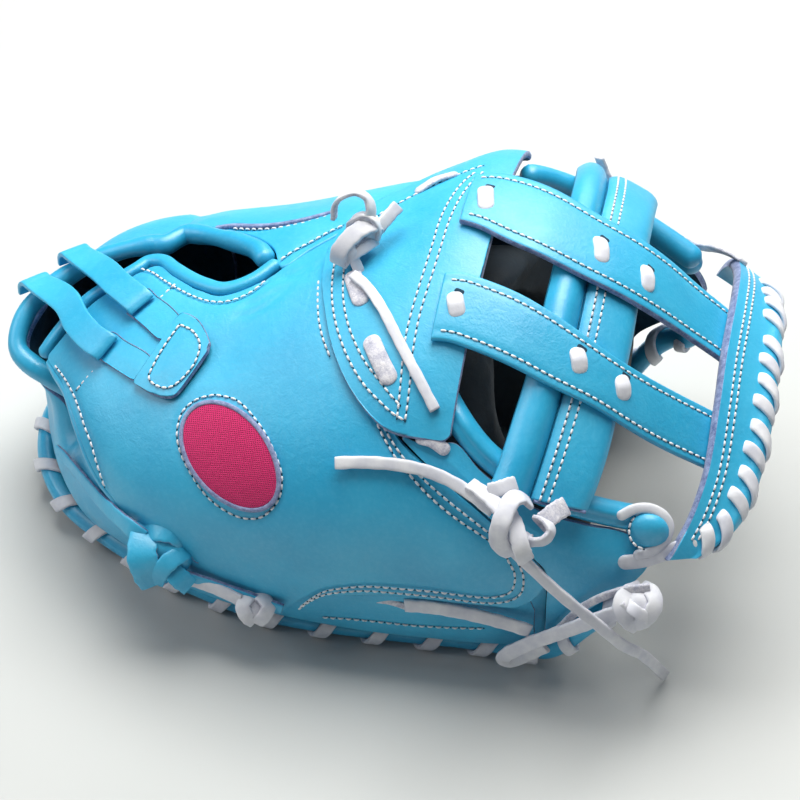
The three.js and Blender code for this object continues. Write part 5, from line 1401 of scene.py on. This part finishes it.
def pad_row(x, side, top, belly, rim_side):
    """Columns of the body's section moved inwards for one face of the pad."""
    r = np.moveaxis(table(BODY, x), -1, 0)[1:].copy()
    r[1] -= side
    r[2] -= side
    r[3] -= top
    r[5] -= belly
    r[6] -= 4.5
    r[7] += rim_side - side
    return r


# How far each face lies inside the body at its sides, top, belly and rim, and half the heel's width there.
PAD_OUTER, PAD_INNER = (27, 36, 4, 16.9), (46, 55, 6, 31)
PAD_HEEL_WIDTHS = (41, 27)
HEEL_RIM_LIFT = 7.2
PAD_COLUMNS = 34
CLOTH_FRAMES = 20


def heel_rib(turn, angle, inset, width, rim_radius):
    """Points of one heel rib, turned round the pivot; at 90 and 270 degrees it is the side rib."""
    share = np.sin(np.radians(turn)) ** 10
    row = pad_row(np.array(HEEL_PIVOT[0]), *inset)
    side = row[1] if turn > 180 else row[2]
    foot = side - row[7]
    w = width + (side - width) * share
    rim_at = rim_radius + (foot - rim_radius) * share
    rim = row[6] + HEEL_RIM_LIFT * (1 - share)
    row = [np.array(v, float) for v in (0, w, w, row[3], row[4], row[5], rim, w - rim_at)]
    flat = section(np.zeros(len(angle)), row, 180 - angle)
    out = flat[:, 1]
    centre = table(BODY, np.array(HEEL_PIVOT[0]))[1]
    return np.stack([HEEL_PIVOT[0] + out * math.cos(math.radians(turn)),
                     centre + out * math.sin(math.radians(turn)), flat[:, 2]], -1)


def coordinates(mesh):
    """Vertex places of a mesh as rows."""
    flat = np.empty(len(mesh.vertices) * 3)
    mesh.vertices.foreach_get("co", flat)
    return flat.reshape(-1, 3)


def settled(piece):
    """Copy of a piece's mesh with its modifiers worked in."""
    return bpy.data.meshes.new_from_object(piece.evaluated_get(bpy.context.evaluated_depsgraph_get()))


def swell(piece, voxel=5.0, shrink=2.0, cap=4.5, pressure=4.0):
    """Padding: the pad is drawn in, remeshed in cubes and blown up as cloth. Each point is held within the
    cap of its start and over the ground."""
    rough = piece.modifiers.new("even_mesh", "REMESH")
    rough.mode, rough.voxel_size = "VOXEL", voxel * MM
    mesh = settled(piece)
    piece.modifiers.remove(rough)
    normals = np.empty(len(mesh.vertices) * 3)
    mesh.vertices.foreach_get("normal", normals)
    start = coordinates(mesh) - normals.reshape(-1, 3) * shrink * MM
    mesh.vertices.foreach_set("co", start.ravel())
    piece.data = mesh
    cloth = piece.modifiers.new("padding", "CLOTH")
    cloth.settings.use_pressure = True
    cloth.settings.uniform_pressure_force = pressure
    cloth.settings.effector_weights.gravity = 0.0
    cloth.collision_settings.use_collision = False
    cloth.point_cache.frame_start, cloth.point_cache.frame_end = 1, CLOTH_FRAMES
    for frame_number in range(1, CLOTH_FRAMES + 1):
        bpy.context.scene.frame_set(frame_number)
    blown = coordinates(settled(piece))
    piece.modifiers.remove(cloth)
    bpy.context.scene.frame_set(1)
    move = blown - start
    size = np.linalg.norm(move, axis=1, keepdims=True)
    moved = start + move * np.minimum(1, cap * MM / np.maximum(size, 1e-9))
    moved[:, 2] = np.maximum(moved[:, 2], 0.0)
    mesh.vertices.foreach_set("co", moved.ravel())
    mesh.update()
    mesh.shade_smooth()
    smooth = piece.modifiers.new("smooth", "SUBSURF")
    smooth.levels = smooth.render_levels = 1


def palm():
    """Padded palm: ribs down the thumb side, round the heel and up the finger side, on two faces."""
    grids = []
    for inset, width in zip((PAD_OUTER, PAD_INNER), PAD_HEEL_WIDTHS):
        rim_radius = HEEL_FOOT_RADIUS - inset[3]
        rows = curve(PAD_RIBS, 90)
        share = np.linspace(0, 1, PAD_COLUMNS)
        x = np.repeat(rows[:, :1], PAD_COLUMNS, 1)
        a = rows[:, 1:2] + (rows[:, 2:3] - rows[:, 1:2]) * share
        thumb = section(x, pad_row(x, *inset), a)
        finger = section(x, pad_row(x, *inset), 180 - a)[::-1]
        angle = 90 - 180 * share
        heel = np.stack([heel_rib(t, angle, inset, width, rim_radius) for t in np.linspace(262, 98, 42)])
        grids.append(np.concatenate([thumb, heel, finger]))
    outer, inner = grids
    for grid in grids:
        grid[..., 2] = np.maximum(grid[..., 2], 0.0)
    # The pad's leather is drawn nearly black: painted shade of the dark pocket.
    piece = shell("padded_palm", outer, inner, [PALM_PAINTED_SHADE, PALM_PAINTED_SHADE, PALM_PAINTED_SHADE],
                  ["palm_pad_thumb", "palm_pad_finger", "palm_pad_heel"], rounding=1.5)
    swell(piece)


camera()
free_ends()
studio()
back_leather()
heel_wall()
rolled_edges()
rim()
straps()
crossbar()
crown()
crown_laces()
tip_rolls()
wrist_tab()
wrist_loops()
patch()
panel_knot()
laces()
crossbar_knot()
rim_knot()
heel_knots()
palm()
